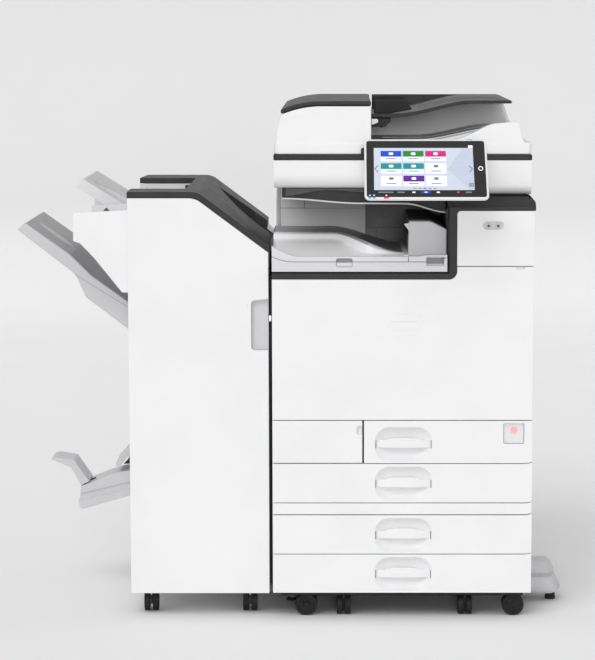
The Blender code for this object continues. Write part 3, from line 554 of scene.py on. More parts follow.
def upper_right_cover():
    """The cover right of the exit cavity, with the presence sensor in it."""
    low, top = TRIM_RIGHT + 0.0006, BAND_BOTTOM - 0.0006
    outline = rounded([
        (low, RIGHT_COVER_BOTTOM + SEAM / 2), (WIDTH, RIGHT_COVER_BOTTOM + SEAM / 2), (WIDTH, top),
        (low, top, 0.0085),
    ], 8)
    hollow = block((low + 0.006, 0.006, 0.812), (WIDTH - 0.006, 0.1, top - 0.006))
    dish = loft([
        place(sensor_outline(grow, grow), "Y", y)
        for y, grow in ((-0.001, 1.05), (0.0006, 1.0), (0.003, 0.94))
    ])
    mesh = carved(prism(outline, "Y", 0.0, 0.06), [hollow, dish])
    piece("right_cover", mesh, WHITE, stands_for=["upper_right_cover"], bevel=0.0022, segments=4)
    presence_sensor()


def sensor_outline(grow_x, grow_z):
    """The long round outline of the presence sensor's dish, made larger or smaller about its centre."""
    half_x, half_z = 0.0235, 0.009
    outline = rectangle(
        SENSOR_X - half_x, SENSOR_Z - half_z, SENSOR_X + half_x, SENSOR_Z + half_z, 0.0089, 10,
    )
    return [(SENSOR_X + (x - SENSOR_X) * grow_x, SENSOR_Z + (z - SENSOR_Z) * grow_z) for x, z in outline]


def presence_sensor():
    """The sensor's grey dish, with two domes that each hold a dark lens."""
    dish = prism(sensor_outline(0.92, 0.9), "Y", 0.0022, 0.004)
    piece("presence_sensor_dish", dish, PALE, bevel=0.0004)
    for side, x in (("left", SENSOR_X - 0.0105), ("right", SENSOR_X + 0.0105)):
        eye = bmesh.new()
        bmesh.ops.create_uvsphere(eye, u_segments=28, v_segments=16, radius=0.0068)
        bmesh.ops.scale(eye, vec=(1.0, 0.36, 0.95), verts=eye.verts)
        bmesh.ops.translate(eye, vec=(x, 0.0024, SENSOR_Z), verts=eye.verts)
        piece(f"presence_sensor_{side}_dome", to_mesh(eye), TRAY, bevel=0)
        pupil = rod((x, 0.0002, SENSOR_Z - 0.001), 0.0028, 0.0012, "Y", 24)
        piece(f"presence_sensor_{side}_lens", pupil, BEZEL, bevel=0.0003, segments=2)


def dark_trim():
    """The rim around the exit cavity: a rounded section whose inner face slopes to catch the light."""
    rim = rounded([
        (0.0004, TRIM_BOTTOM), (TRIM_RIGHT, TRIM_BOTTOM, 0.018), (TRIM_RIGHT, BAND_BOTTOM, 0.009),
        (0.46, BAND_BOTTOM), (0.46, 0.936), (TRIM_LEFT + 0.0002, 0.936),
        (TRIM_LEFT + 0.0002, CAVITY_FLOOR, 0.002), (0.0004, CAVITY_FLOOR),
    ], 10)
    band = rounded([
        (0.0, BAND_BOTTOM), (0.0, 0.9375, 0.004), (0.036, TRIM_TOP, 0.008), (0.598, TRIM_TOP, 0.004),
        (0.598, BAND_BOTTOM),
    ])
    corner = rounded([(0.5745, 0.966), (0.6, 0.966), (0.6, 0.9405), (0.5895, 0.9465, 0.006)])
    notch = block((0.5745, 0.02, 0.9535), (0.5785, 0.06, 0.966))
    chamfer = loft([
        place(rectangle_corners(-0.02, CAVITY_FLOOR - grow, TRIM_LEFT + grow, 1.0), "Y", y)
        for y, grow in ((-0.001, 0.0046), (0.006, 0.0002))
    ])
    mesh = carved(
        prism(rim, "Y", 0.0, 0.03),
        [prism(corner, "Y", -0.01, 0.61), notch, chamfer],
        [prism(band, "X", TRIM_LEFT + 0.0002, WIDTH + 0.002)],
    )
    piece("trim_band", mesh, DARK, stands_for=["dark_trim"], bevel=0.0018, segments=4)


def casing():
    """Left, rear and right walls with their pressed panels, vents, screws and the power inlet."""
    wall, front, low, high = 0.006, 0.0205, 0.06, 0.9285
    left_cut = block((-0.01, -0.01, TRIM_BOTTOM - 0.0003), (wall + 0.001, CAVITY_BACK, 1.0))
    left = carved(
        block((0.0, front, low), (wall, DEPTH - 0.0065, high)), [left_cut, *side_grooves(-0.001, 0.0006)],
    )
    piece("casing_left_wall", left, WHITE, stands_for=["casing_shell"], bevel=0.0022, segments=4)
    right_cuts = [
        block((WIDTH - 0.02, -0.01, RIGHT_COVER_BOTTOM - 0.0003), (WIDTH + 0.01, 0.0606, 1.0)),
        block((WIDTH - 0.02, 0.06, 0.358), (WIDTH + 0.01, 0.54, 0.78)),
        *side_grooves(WIDTH - 0.0006, WIDTH + 0.001),
    ]
    right = carved(block((WIDTH - wall, front, low), (WIDTH, DEPTH - 0.0065, high)), right_cuts)
    piece("casing_right_wall", right, WHITE, bevel=0.0015, segments=3)
    rear_cuts = [block((0.5, DEPTH - 0.02, 0.085), (0.527, DEPTH + 0.01, 0.105))]
    rear_cuts += [vent_slot(0.08 + 0.013 * n, DEPTH, 0.64, 0.745) for n in range(16)]
    rear_cuts += [vent_slot(0.34 + 0.013 * n, DEPTH, 0.64, 0.745) for n in range(14)]
    for z in (0.254, 0.47, 0.8):
        rear_cuts.append(block((0.01, DEPTH - 0.0008, z), (WIDTH - 0.01, DEPTH + 0.01, z + SEAM)))
    rear = carved(block((0.0, DEPTH - wall, low), (WIDTH, DEPTH, high)), rear_cuts)
    piece("casing_rear_wall", rear, WHITE, bevel=0.0015, segments=3)
    heights = (0.08, 0.235, 0.275, 0.452, 0.488, 0.782, 0.818, 0.912)
    spots = [(x, DEPTH, z) for x in (0.022, 0.565) for z in heights]
    screw_heads("rear_screw", spots, "Y", radius=0.0034)
    left, right = SEAM / 2, WIDTH - SEAM / 2
    strip = seam_line(BANK_TOP, left, right, 1) + list(reversed(seam_line(PRINTER_BOTTOM, left, right, -1)))
    piece("bank_strip", prism(strip, "Y", 0.0, 0.018), WHITE, bevel=0.002, segments=4)
    seam_backs()
    power_inlet()


def seam_backs():
    """Black strips that close the seams between the front covers from behind."""
    reach, front, back = 0.0038, 0.0187, 0.0202
    for number, z in enumerate((BANK_SEAM, BANK_TOP, PRINTER_BOTTOM, DRAWER_SEAM, DOOR_BOTTOM)):
        strip = block((0.0065, front, z - reach), (WIDTH - 0.0005, back, z + reach + TURN_UP))
        piece(f"seam_back_{number + 1}", strip, BLACK, bevel=0.0003, segments=2)
    upright = block(
        (SMALL_DRAWER_LEFT - reach, front, DRAWER_SEAM), (SMALL_DRAWER_LEFT + reach, back, DOOR_BOTTOM),
    )
    piece("seam_back_upright", upright, BLACK, bevel=0.0003, segments=2)


def side_grooves(outer, inner):
    """Cuts for the seam lines across a side wall."""
    return [block((outer, 0.04, z), (inner, 0.585, z + SEAM)) for z in (0.254, 0.34, 0.795)]


def vent_slot(x, y, low, high):
    """A cut for one upright slot of a vent in a rear wall."""
    return prism(rectangle(x, low, x + 0.006, high, 0.0028, 4), "Y", y - 0.01, y + 0.01)


def power_inlet():
    """The appliance inlet in its recess: a shrouded socket with three flat pins."""
    y = DEPTH - 0.006
    socket = prism(rectangle(0.5005, 0.0855, 0.5265, 0.1045, 0.003), "Y", y - 0.01, DEPTH - 0.0008)
    mouth = prism(rectangle(0.5035, 0.0885, 0.5235, 0.1015, 0.002), "Y", y - 0.007, DEPTH + 0.01)
    piece("power_inlet_shroud", carved(socket, [mouth]), BLACK, bevel=0.0005)
    for number, (x, z) in enumerate(((0.5075, 0.093), (0.5135, 0.0975), (0.5195, 0.093))):
        pin = block((x - 0.0008, y - 0.008, z - 0.002), (x + 0.0008, DEPTH - 0.0025, z + 0.002))
        piece(f"power_inlet_pin_{number + 1}", pin, STEEL, bevel=0.0003, segments=2)


def power_switch():
    """The switch's housing with its lit button, behind a clear flap."""
    half = SWITCH_SIZE / 2
    left, lamp_z = SWITCH_X - half, SWITCH_Z + 0.0068
    frame_box = block((left, 0.0052, SWITCH_Z - half), (SWITCH_X + half, 0.025, SWITCH_Z + half))
    hollow = block(
        (left + 0.002, 0.0, SWITCH_Z - half + 0.002),
        (SWITCH_X + half - 0.002, 0.008, SWITCH_Z + half - 0.002),
    )
    bore = rod((SWITCH_X, 0.017, lamp_z), 0.0076, 0.015, "Y")
    plate = block((left, 0.024, 0.4), (WIDTH - 0.001, 0.0275, 0.45))
    piece("switch_housing", carved(frame_box, [hollow, bore], [plate]), WHITE, bevel=0.0006)
    collar = rod((SWITCH_X, 0.0076, lamp_z), 0.0092, 0.002, "Y")
    hole = rod((SWITCH_X, 0.0076, lamp_z), 0.0076, 0.01, "Y")
    piece("switch_collar", carved(collar, [hole]), WHITE, bevel=0.0008)
    button = rod((SWITCH_X, 0.0122, lamp_z), 0.0071, 0.012, "Y")
    piece("switch_button", button, SWITCH_GLOW, "power_button", ["power_button"], 0.0012, 4)
    flap = prism(
        rectangle(left, SWITCH_Z - half, SWITCH_X + half, SWITCH_Z + half, 0.0015), "Y", 0.0012, 0.0032,
    )
    piece("switch_flap", flap, SMOKED, "power_flap", ["power_flap"], 0.0005)


# ---------------------------------------------------------------- drawers


def grip_ring(z, y, grow):
    """One ring of a grip's bowl: a rounded rectangle that shrinks as it goes in."""
    half_width, half_height = 0.0642 * grow, 0.0388 * grow
    outline = rectangle(
        GRIP_X - half_width, z - half_height, GRIP_X + half_width, z + half_height, 0.0335 * grow, 8,
    )
    return place(outline, "Y", y)


def grip_bowl(z):
    """The bowl: it rolls in from the cover's face and runs back to a soft round floor."""
    rings = (
        (-0.002, 1.04), (-0.0002, 1.022), (0.0008, 1.0), (0.0026, 0.965), (0.0052, 0.92),
        (0.0088, 0.85), (0.0122, 0.76), (0.015, 0.64), (0.0168, 0.48), (0.0176, 0.28),
    )
    return loft([grip_ring(z, y, grow) for y, grow in rings])


def drawer(number, left, bottom, top, bin_right):
    """A drawer's front with its grip, and its paper bin."""
    body = f"tray_{number}"
    z = bottom + GRIP_RISE
    near, far = left + (SEAM if number == 1 else SEAM / 2), WIDTH - SEAM / 2
    low_edge = [(near, bottom + SEAM / 2), (far, bottom + SEAM / 2)] if number == 4 else seam_line(
        bottom, near, far, 1,
    )
    face = prism(low_edge + list(reversed(seam_line(top, near, far, -1))), "Y", 0.0, 0.018)
    cup = loft([grip_ring(z, 0.01, 1.0), grip_ring(z, 0.024, 0.86)])
    cuts = [grip_bowl(z)]
    if number == 1:
        half = SWITCH_SIZE / 2 + 0.001
        window = rectangle(SWITCH_X - half, SWITCH_Z - half, SWITCH_X + half, SWITCH_Z + half, 0.0025, 4)
        cuts.append(prism(window, "Y", -0.01, 0.03))
    piece(f"{body}_cover", carved(face, cuts, [cup]), WHITE, body, [f"{body}_front"], 0.002, 4, 22)
    grip_bar(body, z)
    paper_bin(body, left, bottom, bin_right)


def grip_bar(body, z):
    """The bar across the bowl bows forward in the middle, under a finger lip, and ends in slots drawn as dark
    boxes: painted shade.
    """
    half, bow, thick = 0.0613, 0.006, 0.0085
    front = curve(lambda x: 0.001 + bow * ((x - GRIP_X) / half) ** 2, GRIP_X - half, GRIP_X + half, 20)
    back = [(x, y + thick) for x, y in reversed(front)]
    piece(
        f"{body}_grip_bar", prism(front + back, "Z", z - 0.0092, z + 0.0088), WHITE, body, bevel=0.0026,
        segments=5,
    )
    lip_top = curve(
        lambda x: z + 0.0132 - 0.0055 * ((x - GRIP_X) / 0.041) ** 4, GRIP_X - 0.041, GRIP_X + 0.041, 16,
    )
    lip = [(GRIP_X - 0.041, z), (GRIP_X + 0.041, z), *reversed(lip_top)]
    piece(f"{body}_grip_lip", prism(lip, "Y", 0.006, 0.016), WHITE, body, bevel=0.0015, segments=3)
    for side, way in (("left", -1), ("right", 1)):
        x = GRIP_X + way * (half + 0.0009)
        # Each slot is a dark box standing out of the bowl: painted shade for the slot's gap.
        slot_shade = block((x - 0.0009, 0.0014, z - 0.0096), (x + 0.0009, 0.012, z + 0.009))
        piece(f"{body}_grip_slot_{side}", slot_shade, SHADOW, body, bevel=0.0004)


def paper_bin(body, left, bottom, right):
    """A drawer's paper cassette, between a low and a high corner, with its plate, guides, stop and rails."""
    low = Vector((left + 0.025, 0.038, bottom + 0.0095))
    high = Vector((right - 0.0005, 0.5595, bottom + 0.0805))
    cassette(body, low, high)
    lift_plate(body, low, high)
    paper_guides(body, low, high)
    for side, x in (("left", low.x), ("right", high.x)):
        rail = block((x - 0.0035, low.y + 0.03, low.z + 0.03), (x + 0.0035, high.y - 0.006, low.z + 0.038))
        piece(f"{body}_{side}_rail", rail, STEEL, body, bevel=0.0006, segments=2)


def cassette(body, low, high):
    """The tray itself: thin walls with a lowered stretch in their middle and ribs along its rear wall."""
    wall = 0.003
    hollow = block(low + Vector((wall, wall, wall)), (high.x - wall, high.y - wall, high.z + 0.01))
    pitch, ribs = (high.x - low.x - 0.07) / 6, []
    for number in range(7):
        x = low.x + 0.03 + number * pitch
        ribs.append(block((x, high.y - 0.004, low.z), (x + 0.004, high.y, high.z - 0.004)))
    relief = block(
        (low.x - 0.001, low.y + 0.12, high.z - 0.02), (high.x + 0.001, high.y - 0.12, high.z + 0.001),
    )
    mesh = carved(block(low, high), [hollow, relief], ribs)
    piece(f"{body}_cassette", mesh, INNER, body, [f"{body}_bin"], 0.0008, 2)


def lift_plate(body, low, high):
    """The steel plate that lifts the paper, with a slot across it."""
    plate = block(
        (low.x + 0.012, low.y + 0.03, low.z + 0.006), (high.x - 0.012, high.y - 0.06, low.z + 0.0075),
    )
    slot = block((low.x + 0.06, low.y + 0.11, low.z), (high.x - 0.06, low.y + 0.12, low.z + 0.02))
    piece(f"{body}_lift_plate", carved(plate, [slot]), STEEL, body, bevel=0.0004, segments=2)


def paper_guides(body, low, high):
    """Two green side guides and an end stop, all standing on the cassette's floor."""
    floor, radius = low.z + 0.0085, 0.012
    near, far, top = low.x + 0.09, low.x + 0.19, high.z - 0.012
    guide = rounded([(near, floor), (far, floor), (far, top, radius), (near, top, radius)])
    for side, y in (("front", low.y + 0.055), ("rear", high.y - 0.075)):
        piece(f"{body}_{side}_fence", prism(guide, "Y", y, y + 0.004), GREEN, body, bevel=0.0006, segments=2)
    near, far, top = low.y + 0.2, low.y + 0.3, high.z - 0.014
    stop = rounded([(near, floor), (far, floor), (far - 0.01, top, 0.01), (near + 0.01, top, 0.01)])
    mesh = prism(stop, "X", high.x - 0.06, high.x - 0.055)
    piece(f"{body}_end_stop", mesh, INNER, body, bevel=0.0006, segments=2)


def drawers():
    """The printer's two drawers and the paper bank's two."""
    drawer(1, SMALL_DRAWER_LEFT, DRAWER_SEAM, DOOR_BOTTOM, 0.512)
    drawer(2, 0.0, PRINTER_BOTTOM, DRAWER_SEAM, 0.562)
    drawer(3, 0.0, BANK_SEAM, BANK_TOP, 0.562)
    drawer(4, 0.0, BODY_BOTTOM, BANK_SEAM, 0.562)


# ---------------------------------------------------------------- inside the printer


def inside():
    """What the covers hide: frame, toner caps, latches, levers and rollers."""
    carry("inner_frame", STEEL)
    carry("process_unit", INNER)
    carry("fuser_unit", SHADOW)
    carry("stapler_unit", STEEL)
    for number, look in enumerate((YELLOW, CYAN, MAGENTA, SHADOW)):
        x = 0.075 + 0.095 * number
        cap = rod((x, 0.0275, 0.705), 0.034, 0.006, "Y", 48, 0.031)
        bar = block((x - 0.024, 0.02, 0.701), (x + 0.024, 0.0295, 0.709))
        piece(f"toner_cap_{number + 1}", carved(cap, [], [bar]), look, bevel=0.0012)
        lever = prism(rectangle(x - 0.012, 0.59, x + 0.012, 0.64, 0.005), "Y", 0.0545, 0.0595)
        piece(f"drum_latch_{number + 1}", lever, look, bevel=0.001)
    lever = rounded([(0.44, 0.64), (0.54, 0.64), (0.54, 0.668, 0.01), (0.44, 0.668, 0.01)])
    piece("fuser_lever", prism(lever, "Y", 0.055, 0.0695), GREEN, bevel=0.0015)
    for number, z in enumerate((0.648, 0.7)):
        roller = rod((0.5525, 0.3, z), 0.003, 0.46, "Y", 20)
        piece(f"path_roller_{number + 1}", roller, RUBBER, bevel=0.0004)


def duplex_door():
    """The right-hand door with the bypass tray folded into it."""
    outer, bottom = WIDTH - 0.0002, 0.3606
    low, high = (0.5575, 0.0606, bottom), (outer, 0.5394, 0.7786)
    pocket = block((outer - 0.014, 0.13, 0.4784), (WIDTH + 0.01, 0.47, 0.7))
    feed = block((0.54, 0.15, 0.492), (outer, 0.45, 0.504))
    pull = prism(rectangle(0.24, 0.735, 0.36, 0.76, 0.008), "X", outer - 0.009, outer + 0.002)
    ribs = [block((0.55, 0.085 + 0.03 * n, 0.52), (0.5595, 0.0865 + 0.03 * n, 0.765)) for n in range(15)]
    mesh = carved(block(low, high), [pocket, feed, pull, *ribs])
    piece("duplex_cover", mesh, WHITE, "duplex_door", ["duplex_door"], 0.002, 4)
    low, high = (outer - 0.0134, 0.1306, 0.4806), (outer, 0.4694, 0.6994)
    finger = prism(rectangle(0.26, 0.67, 0.34, 0.69, 0.006), "X", outer - 0.006, outer + 0.002)
    mesh = carved(block(low, high), [finger])
    piece("bypass_cover", mesh, WHITE, "bypass_tray", ["bypass_tray"], 0.0018, 4)
    for side, y in (("front", 0.19), ("rear", 0.396)):
        guide = block((outer - 0.0138, y, 0.52), (outer - 0.0128, y + 0.014, 0.6))
        piece(f"bypass_guide_{side}", guide, INNER, "bypass_tray", bevel=0.0003, segments=1)
    for number, y in enumerate((0.2, 0.3, 0.4)):
        tyre = rod((0.566, y, 0.498), 0.0055, 0.024, "Y", 24)
        piece(f"bypass_roller_{number + 1}", tyre, RUBBER, "duplex_door", bevel=0.0006, segments=2)


# ---------------------------------------------------------------- exit cavity


def cavity_housing():
    """The walls behind and beside the exit cavity, faced with panels."""
    left, seam, right, back, front = 0.008, 0.3925, 0.5805, 0.5985, 0.0615
    low, top, wall = 0.7805, BAND_BOTTOM - 0.0003, 0.006
    plan = [
        (left, CAVITY_BACK), (seam, CAVITY_BACK), (seam, front), (right, front), (right, back),
        (left, back),
    ]
    upper = block((left, CAVITY_BACK, 0.9), (seam, back, SCANNER_BOTTOM - 0.0003))
    hollow = [
        (left + wall, CAVITY_BACK + wall), (seam + wall, CAVITY_BACK + wall), (seam + wall, front + wall),
        (right - wall, front + wall), (right - wall, back - wall), (left + wall, back - wall),
    ]
    mesh = carved(prism(plan, "Z", low, top), [prism(hollow, "Z", low - 0.01, top - wall)], [upper])
    piece("cavity_walls", mesh, SHADOW, stands_for=["cavity_housing"], bevel=0.001)
    cavity_wall_panel("upper_left", 0.01, 0.9051, 0.0672, 0.954, CAVITY)
    cavity_wall_panel("left", 0.01, 0.83, 0.213, 0.9039, CAVITY)
    cavity_wall_panel("upper", 0.0684, 0.9045, 0.213, 0.954, CAVITY)
    cavity_wall_panel("catch", 0.2142, 0.83, 0.24, 0.858, SHADOW)
    cavity_wall_panel("right", 0.2412, 0.83, 0.39, 0.858, SHADOW)
    cavity_wall_panel("upper_right", 0.2142, 0.8592, 0.39, 0.954, SHADOW)
    post = block((0.0012, CAVITY_BACK - 0.0036, 0.83), (0.0088, CAVITY_BACK + 0.012, SCANNER_BOTTOM - 0.0005))
    groove = block((0.0052, CAVITY_BACK - 0.005, 0.835), (0.0062, CAVITY_BACK - 0.001, 0.97))
    piece("cavity_left_post", carved(post, [groove]), PALE, bevel=0.0008)


def cavity_wall_panel(name, left, low, right, top, look):
    """One panel of the cavity's back wall; the dark gaps between the panels are its seams."""
    mesh = block((left, CAVITY_BACK - 0.0035, low), (right, CAVITY_BACK - 0.0002, top))
    piece(f"cavity_wall_{name}", mesh, look, bevel=0.0004, segments=2)


def falling(start, end, reach, power):
    """A curve that drops steeply from its start at X = 0 and levels out to its end at the reach."""
    return lambda x: end + (start - end) * max(0.0, 1 - x / reach) ** power


BODY_SEAM = falling(0.8262, 0.814, 0.05, 2.0)
COVER_UNDERSIDE = falling(0.8274, 0.8152, 0.05, 2.0)
LEDGE_TOP = falling(0.851, 0.8268, 0.058, 1.5)
RISER_Y = between([(0.135, 0.15), (0.222, 0.033)])
RIDGE_Y = between([(0.14, 0.2), (0.29, 0.052)])
UPPER_Z = between([(0.14, 0.8642), (0.292, 0.831)])
BACK_Z = between([(0.13, 0.8627), (0.305, 0.822)])


def bridge_body():
    """The front of the bridge unit under the exit surface, with the recess for its latch."""
    outline = [
        (0.0006, CAVITY_FLOOR + 0.0006), (0.3922, CAVITY_FLOOR + 0.0006), (0.3922, 0.8235), (0.345, 0.814),
    ]
    outline += list(reversed(curve(BODY_SEAM, 0.0006, 0.052, 12)))
    pocket = prism(rectangle(0.144, 0.803, 0.181, 0.83, 0.005, 6), "Y", -0.002, 0.0055)
    recess = prism(rectangle(0.3455, 0.8055, 0.385, 0.83, 0.003, 6), "Y", -0.002, 0.01)
    mesh = carved(prism(outline, "Y", 0.0005, CAVITY_BACK - 0.0003), [pocket, recess])
    piece("bridge_front", mesh, LEDGE, stands_for=["bridge_body"], bevel=0.0008)
    grip = prism(rectangle(0.145, 0.804, 0.18, 0.8125, 0.003, 5), "Y", 0.0022, 0.0058)
    piece("bridge_grip", grip, LEDGE, bevel=0.0008)
    # A dark sheet at the back of the latch recess: painted shade in the recess.
    liner = prism(rectangle(0.346, 0.81, 0.3845, 0.8225, 0.002, 5), "Y", 0.0085, 0.0103)
    piece("bridge_recess_painted_shade", liner, INNER, bevel=0.0005)


def exit_height(y):
    """The plateau of the exit surface, which rises gently to the rear."""
    return 0.8262 + 0.188 * (y - 0.0155)


def plateau_row(share):
    """A row of the plateau, at a share of the way from its front edge to the riser."""
    front = 0.015

    def at(x):
        y = front + (RISER_Y(x) - front) * share
        return y, exit_height(y)

    return at


def riser_row(share):
    """A row of the soft riser between the plateau and the level above it."""
    depth = 0.007

    def at(x):
        foot = exit_height(RISER_Y(x))
        return RISER_Y(x) + depth * share, foot + (UPPER_Z(x) - foot) * ease(share)

    return at


def guide_row(share):
    """A row of the guide, at a share of the way from the ridge to the rear wall."""
    back, behind, sunk = 0.385, 0.0012, 0.0035

    def at(x):
        near = RIDGE_Y(x) + behind
        start = UPPER_Z(x) - sunk
        return near + (back - near) * share, start + (BACK_Z(x) - start) * ease(share)

    return at


def surface_rows():
    """The exit surface from front to rear, row by row: at X, each row gives its Y and its height."""
    rows = [plateau_row(step / 6) for step in range(6)]
    rows += [riser_row(step / 4) for step in range(5)]
    rows.append(lambda x: (RIDGE_Y(x), UPPER_Z(x) + 0.0006))
    rows.append(lambda x: (RIDGE_Y(x) + 0.0015, UPPER_Z(x) - 0.01))
    rows.append(lambda x: (0.384, min(UPPER_Z(x), BACK_Z(x)) - 0.006))
    return rows


def guide_rows():
    """The guide behind the exit surface: hidden up to the ridge, then a plain slope to the rear wall."""
    rows = [lambda x: (0.046, COVER_UNDERSIDE(x) + 0.0015)]
    rows.append(lambda x: (RIDGE_Y(x) + 0.0002, COVER_UNDERSIDE(x) + 0.0015))
    return rows + [guide_row(step / 4) for step in range(5)]


def sheet(rows, underside, start, end, steps=48):
    """A closed body whose top runs through the rows and whose bottom follows the underside."""
    places = [start + (end - start) * step / steps for step in range(steps + 1)]
    rings = []
    for row in rows:
        ring = [Vector((x, row(x)[0], underside(x))) for x in places]
        ring += [Vector((x, *row(x))) for x in reversed(places)]
        rings.append(ring)
    return loft(rings)


def bridge_cover():
    """The exit surface with its rim and latch, and the guide behind it that falls away to the right; the
    surface is painted lighter and the guide darker than the rim, as painted light and shade.
    """
    left, right = 0.0006, 0.3045
    underside = curve(COVER_UNDERSIDE, left, right, 48)
    rings = []
    for y, drop in ((0.0005, 0.0016), (0.0009, 0.0005), (0.0017, 0.0), (0.014, 0.0), (0.0155, 0.0008)):
        top = [(x, z - drop) for x, z in reversed(curve(LEDGE_TOP, left, right, 48))]
        rings.append(place(underside + top, "Y", y))
    pocket = prism(rectangle(0.144, 0.803, 0.181, 0.8225, 0.005, 6), "Y", -0.002, 0.0055)
    piece("exit_rim", carved(loft(rings), [pocket]), LEDGE, "bridge_cover", ["bridge_cover"], 0, at_angle=50)
    # The plateau takes a lighter grey than the rim of the same cover: painted light.
    surface = sheet(surface_rows(), COVER_UNDERSIDE, left, right - 0.01)
    piece("exit_surface", surface, SURFACE_PAINTED_LIGHT, "bridge_cover", bevel=0, at_angle=60)
    # The guide's darker grey is painted shade, for the shade under the scanner's belly.
    guide = sheet(guide_rows(), COVER_UNDERSIDE, left + 0.0004, right - 0.0104)
    piece("exit_rear_guide", guide, BED_PAINTED_SHADE, "bridge_cover", bevel=0, at_angle=50)
    latch = prism(rectangle(0.145, 0.814, 0.18, 0.8215, 0.001), "Y", 0.003, 0.006)
    piece("bridge_latch", latch, INNER, "bridge_cover", bevel=0.0006)


def exit_block():
    """The block that sheets leave from, with its rollers, and the ledge it stands on."""
    left, right, ledge = 0.3057, 0.3922, 0.827
    base = rounded([
        (left, 0.8152), (0.345, 0.8152), (right, 0.8247), (right, 0.83), (0.35, 0.83, 0.02),
        (0.33, ledge, 0.02), (left, ledge),
    ])
    recess = prism(rectangle(0.3455, 0.8055, 0.385, 0.8262, 0.003, 6), "Y", -0.002, 0.01)
    mesh = carved(prism(base, "Y", 0.0005, CAVITY_BACK - 0.0003), [recess])
    piece("exit_ledge", mesh, LEDGE, stands_for=["exit_block"], bevel=0.001)
    # The floor beside the block takes the plateau's lighter grey: painted light.
    piece("exit_floor", block((0.295, 0.016, 0.8155), (0.3058, 0.385, 0.829)), SURFACE_PAINTED_LIGHT, bevel=0.001)
    profile = rounded([
        (0.3052, 0.824), (right - 0.0004, 0.824), (right - 0.0004, 0.885, 0.004), (0.356, 0.903, 0.03),
        (0.307, 0.903, 0.003),
    ], 10)
    slot = block((0.3, 0.06, 0.862), (0.345, 0.37, 0.876))
    piece("exit_cover", prism(profile, "Y", 0.028, 0.062), TRAY, bevel=0.0035, segments=5)
    # The block's rear and top take the dark grey: partly its own dark plastic, partly painted shade under the
    # scanner.
    rear = [(x, z - 0.0015) for x, z in profile]
    mesh = carved(prism(rear, "Y", 0.055, CAVITY_BACK - 0.001), [slot])
    piece("exit_rear", mesh, SHADOW, bevel=0.0015)
    fin = rounded([(0.2955, 0.8975, 0.001), (0.308, 0.899), (0.308, 0.88), (0.3045, 0.885, 0.002)])
    piece("exit_fin", prism(fin, "Y", 0.03, 0.034), PALE, bevel=0.0005)
    for number in range(4):
        y = 0.09 + number * 0.085
        roller = rod((0.315, y, 0.872), 0.006, 0.03, "Y", 24)
        piece(f"exit_roller_{number + 1}", roller, RUBBER, bevel=0.0008)


# ---------------------------------------------------------------- scanner


def scanner_section(bottom, back, radius, rear_radius, steps):
    """A section through the scanner's shell, whose bottom turns in at the front."""
    top = 1.0385
    corners = [
        (SCANNER_FRONT, top), (SCANNER_FRONT, bottom, radius), (back, bottom, rear_radius), (back, top),
    ]
    return rounded(corners, steps)


def scanner():
    """The scanner: a white shell that reaches lower on its right, a dark frame, and a neck to stand on."""
    shell = prism(
        scanner_section(SCANNER_BOTTOM, SCANNER_BACK, 0.03, 0.01, 14), "X", SCANNER_LEFT, SCANNER_RIGHT,
    )
    low = scanner_section(TRIM_TOP + 0.004, SCANNER_BACK - 0.003, 0.022, 0.01, 10)
    right_side = prism(low, "X", TRIM_LEFT + 0.001, SCANNER_RIGHT)
    hollow = block((0.012, 0.047, 0.991), (0.5745, 0.593, 1.1))
    mesh = carved(shell, [hollow], [right_side])
    piece("scanner_shell", mesh, WHITE, stands_for=["scanner_housing"], bevel=0.0045, segments=6, at_angle=50)
    left, right = SCANNER_LEFT - 0.0012, SCANNER_RIGHT + 0.0012
    outline = rectangle(left, SCANNER_FRONT - 0.001, right, SCANNER_BACK - 0.001, 0.007)
    window = block((0.04, 0.085, 1.0), (0.5, 0.4, 1.1))
    under = block((0.014, 0.049, 1.0), (0.5725, 0.591, SCANNER_TOP - 0.004))
    mesh = carved(prism(outline, "Z", 1.0392, SCANNER_TOP), [window, under])
    piece("scanner_frame", mesh, DARK, bevel=0.0016, segments=4)
    neck = rectangle(TRIM_LEFT + 0.004, SCANNER_FRONT + 0.014, 0.572, 0.585, 0.006)
    piece("scanner_neck", prism(neck, "Z", TRIM_TOP + 0.0006, 0.965), BLACK, bevel=0.001)
    belly()
    panel_mount()
    glass_and_carriage()


def panel_mount():
    """The arm on the scanner's front that carries the panel, and a catch beside the panel."""
    arm = rounded([
        (0.045, 1.0), (0.045, 1.03), (-0.002, 1.0485, 0.001), (-0.007, 1.0475, 0.002),
        (-0.007, 1.0425, 0.001),
    ])
    piece("panel_arm", prism(arm, "X", 0.318, 0.369), DARK, bevel=0.0012)
    catch = rectangle(0.1995, 1.0512, 0.214, 1.0668, 0.004)
    piece("panel_side_catch", prism(catch, "Y", 0.029, 0.042), DARK, bevel=0.0012)


BELLY = between([(0.022, 0.95), (0.2, 0.939), (0.3, 0.9385), (0.392, 0.919)])


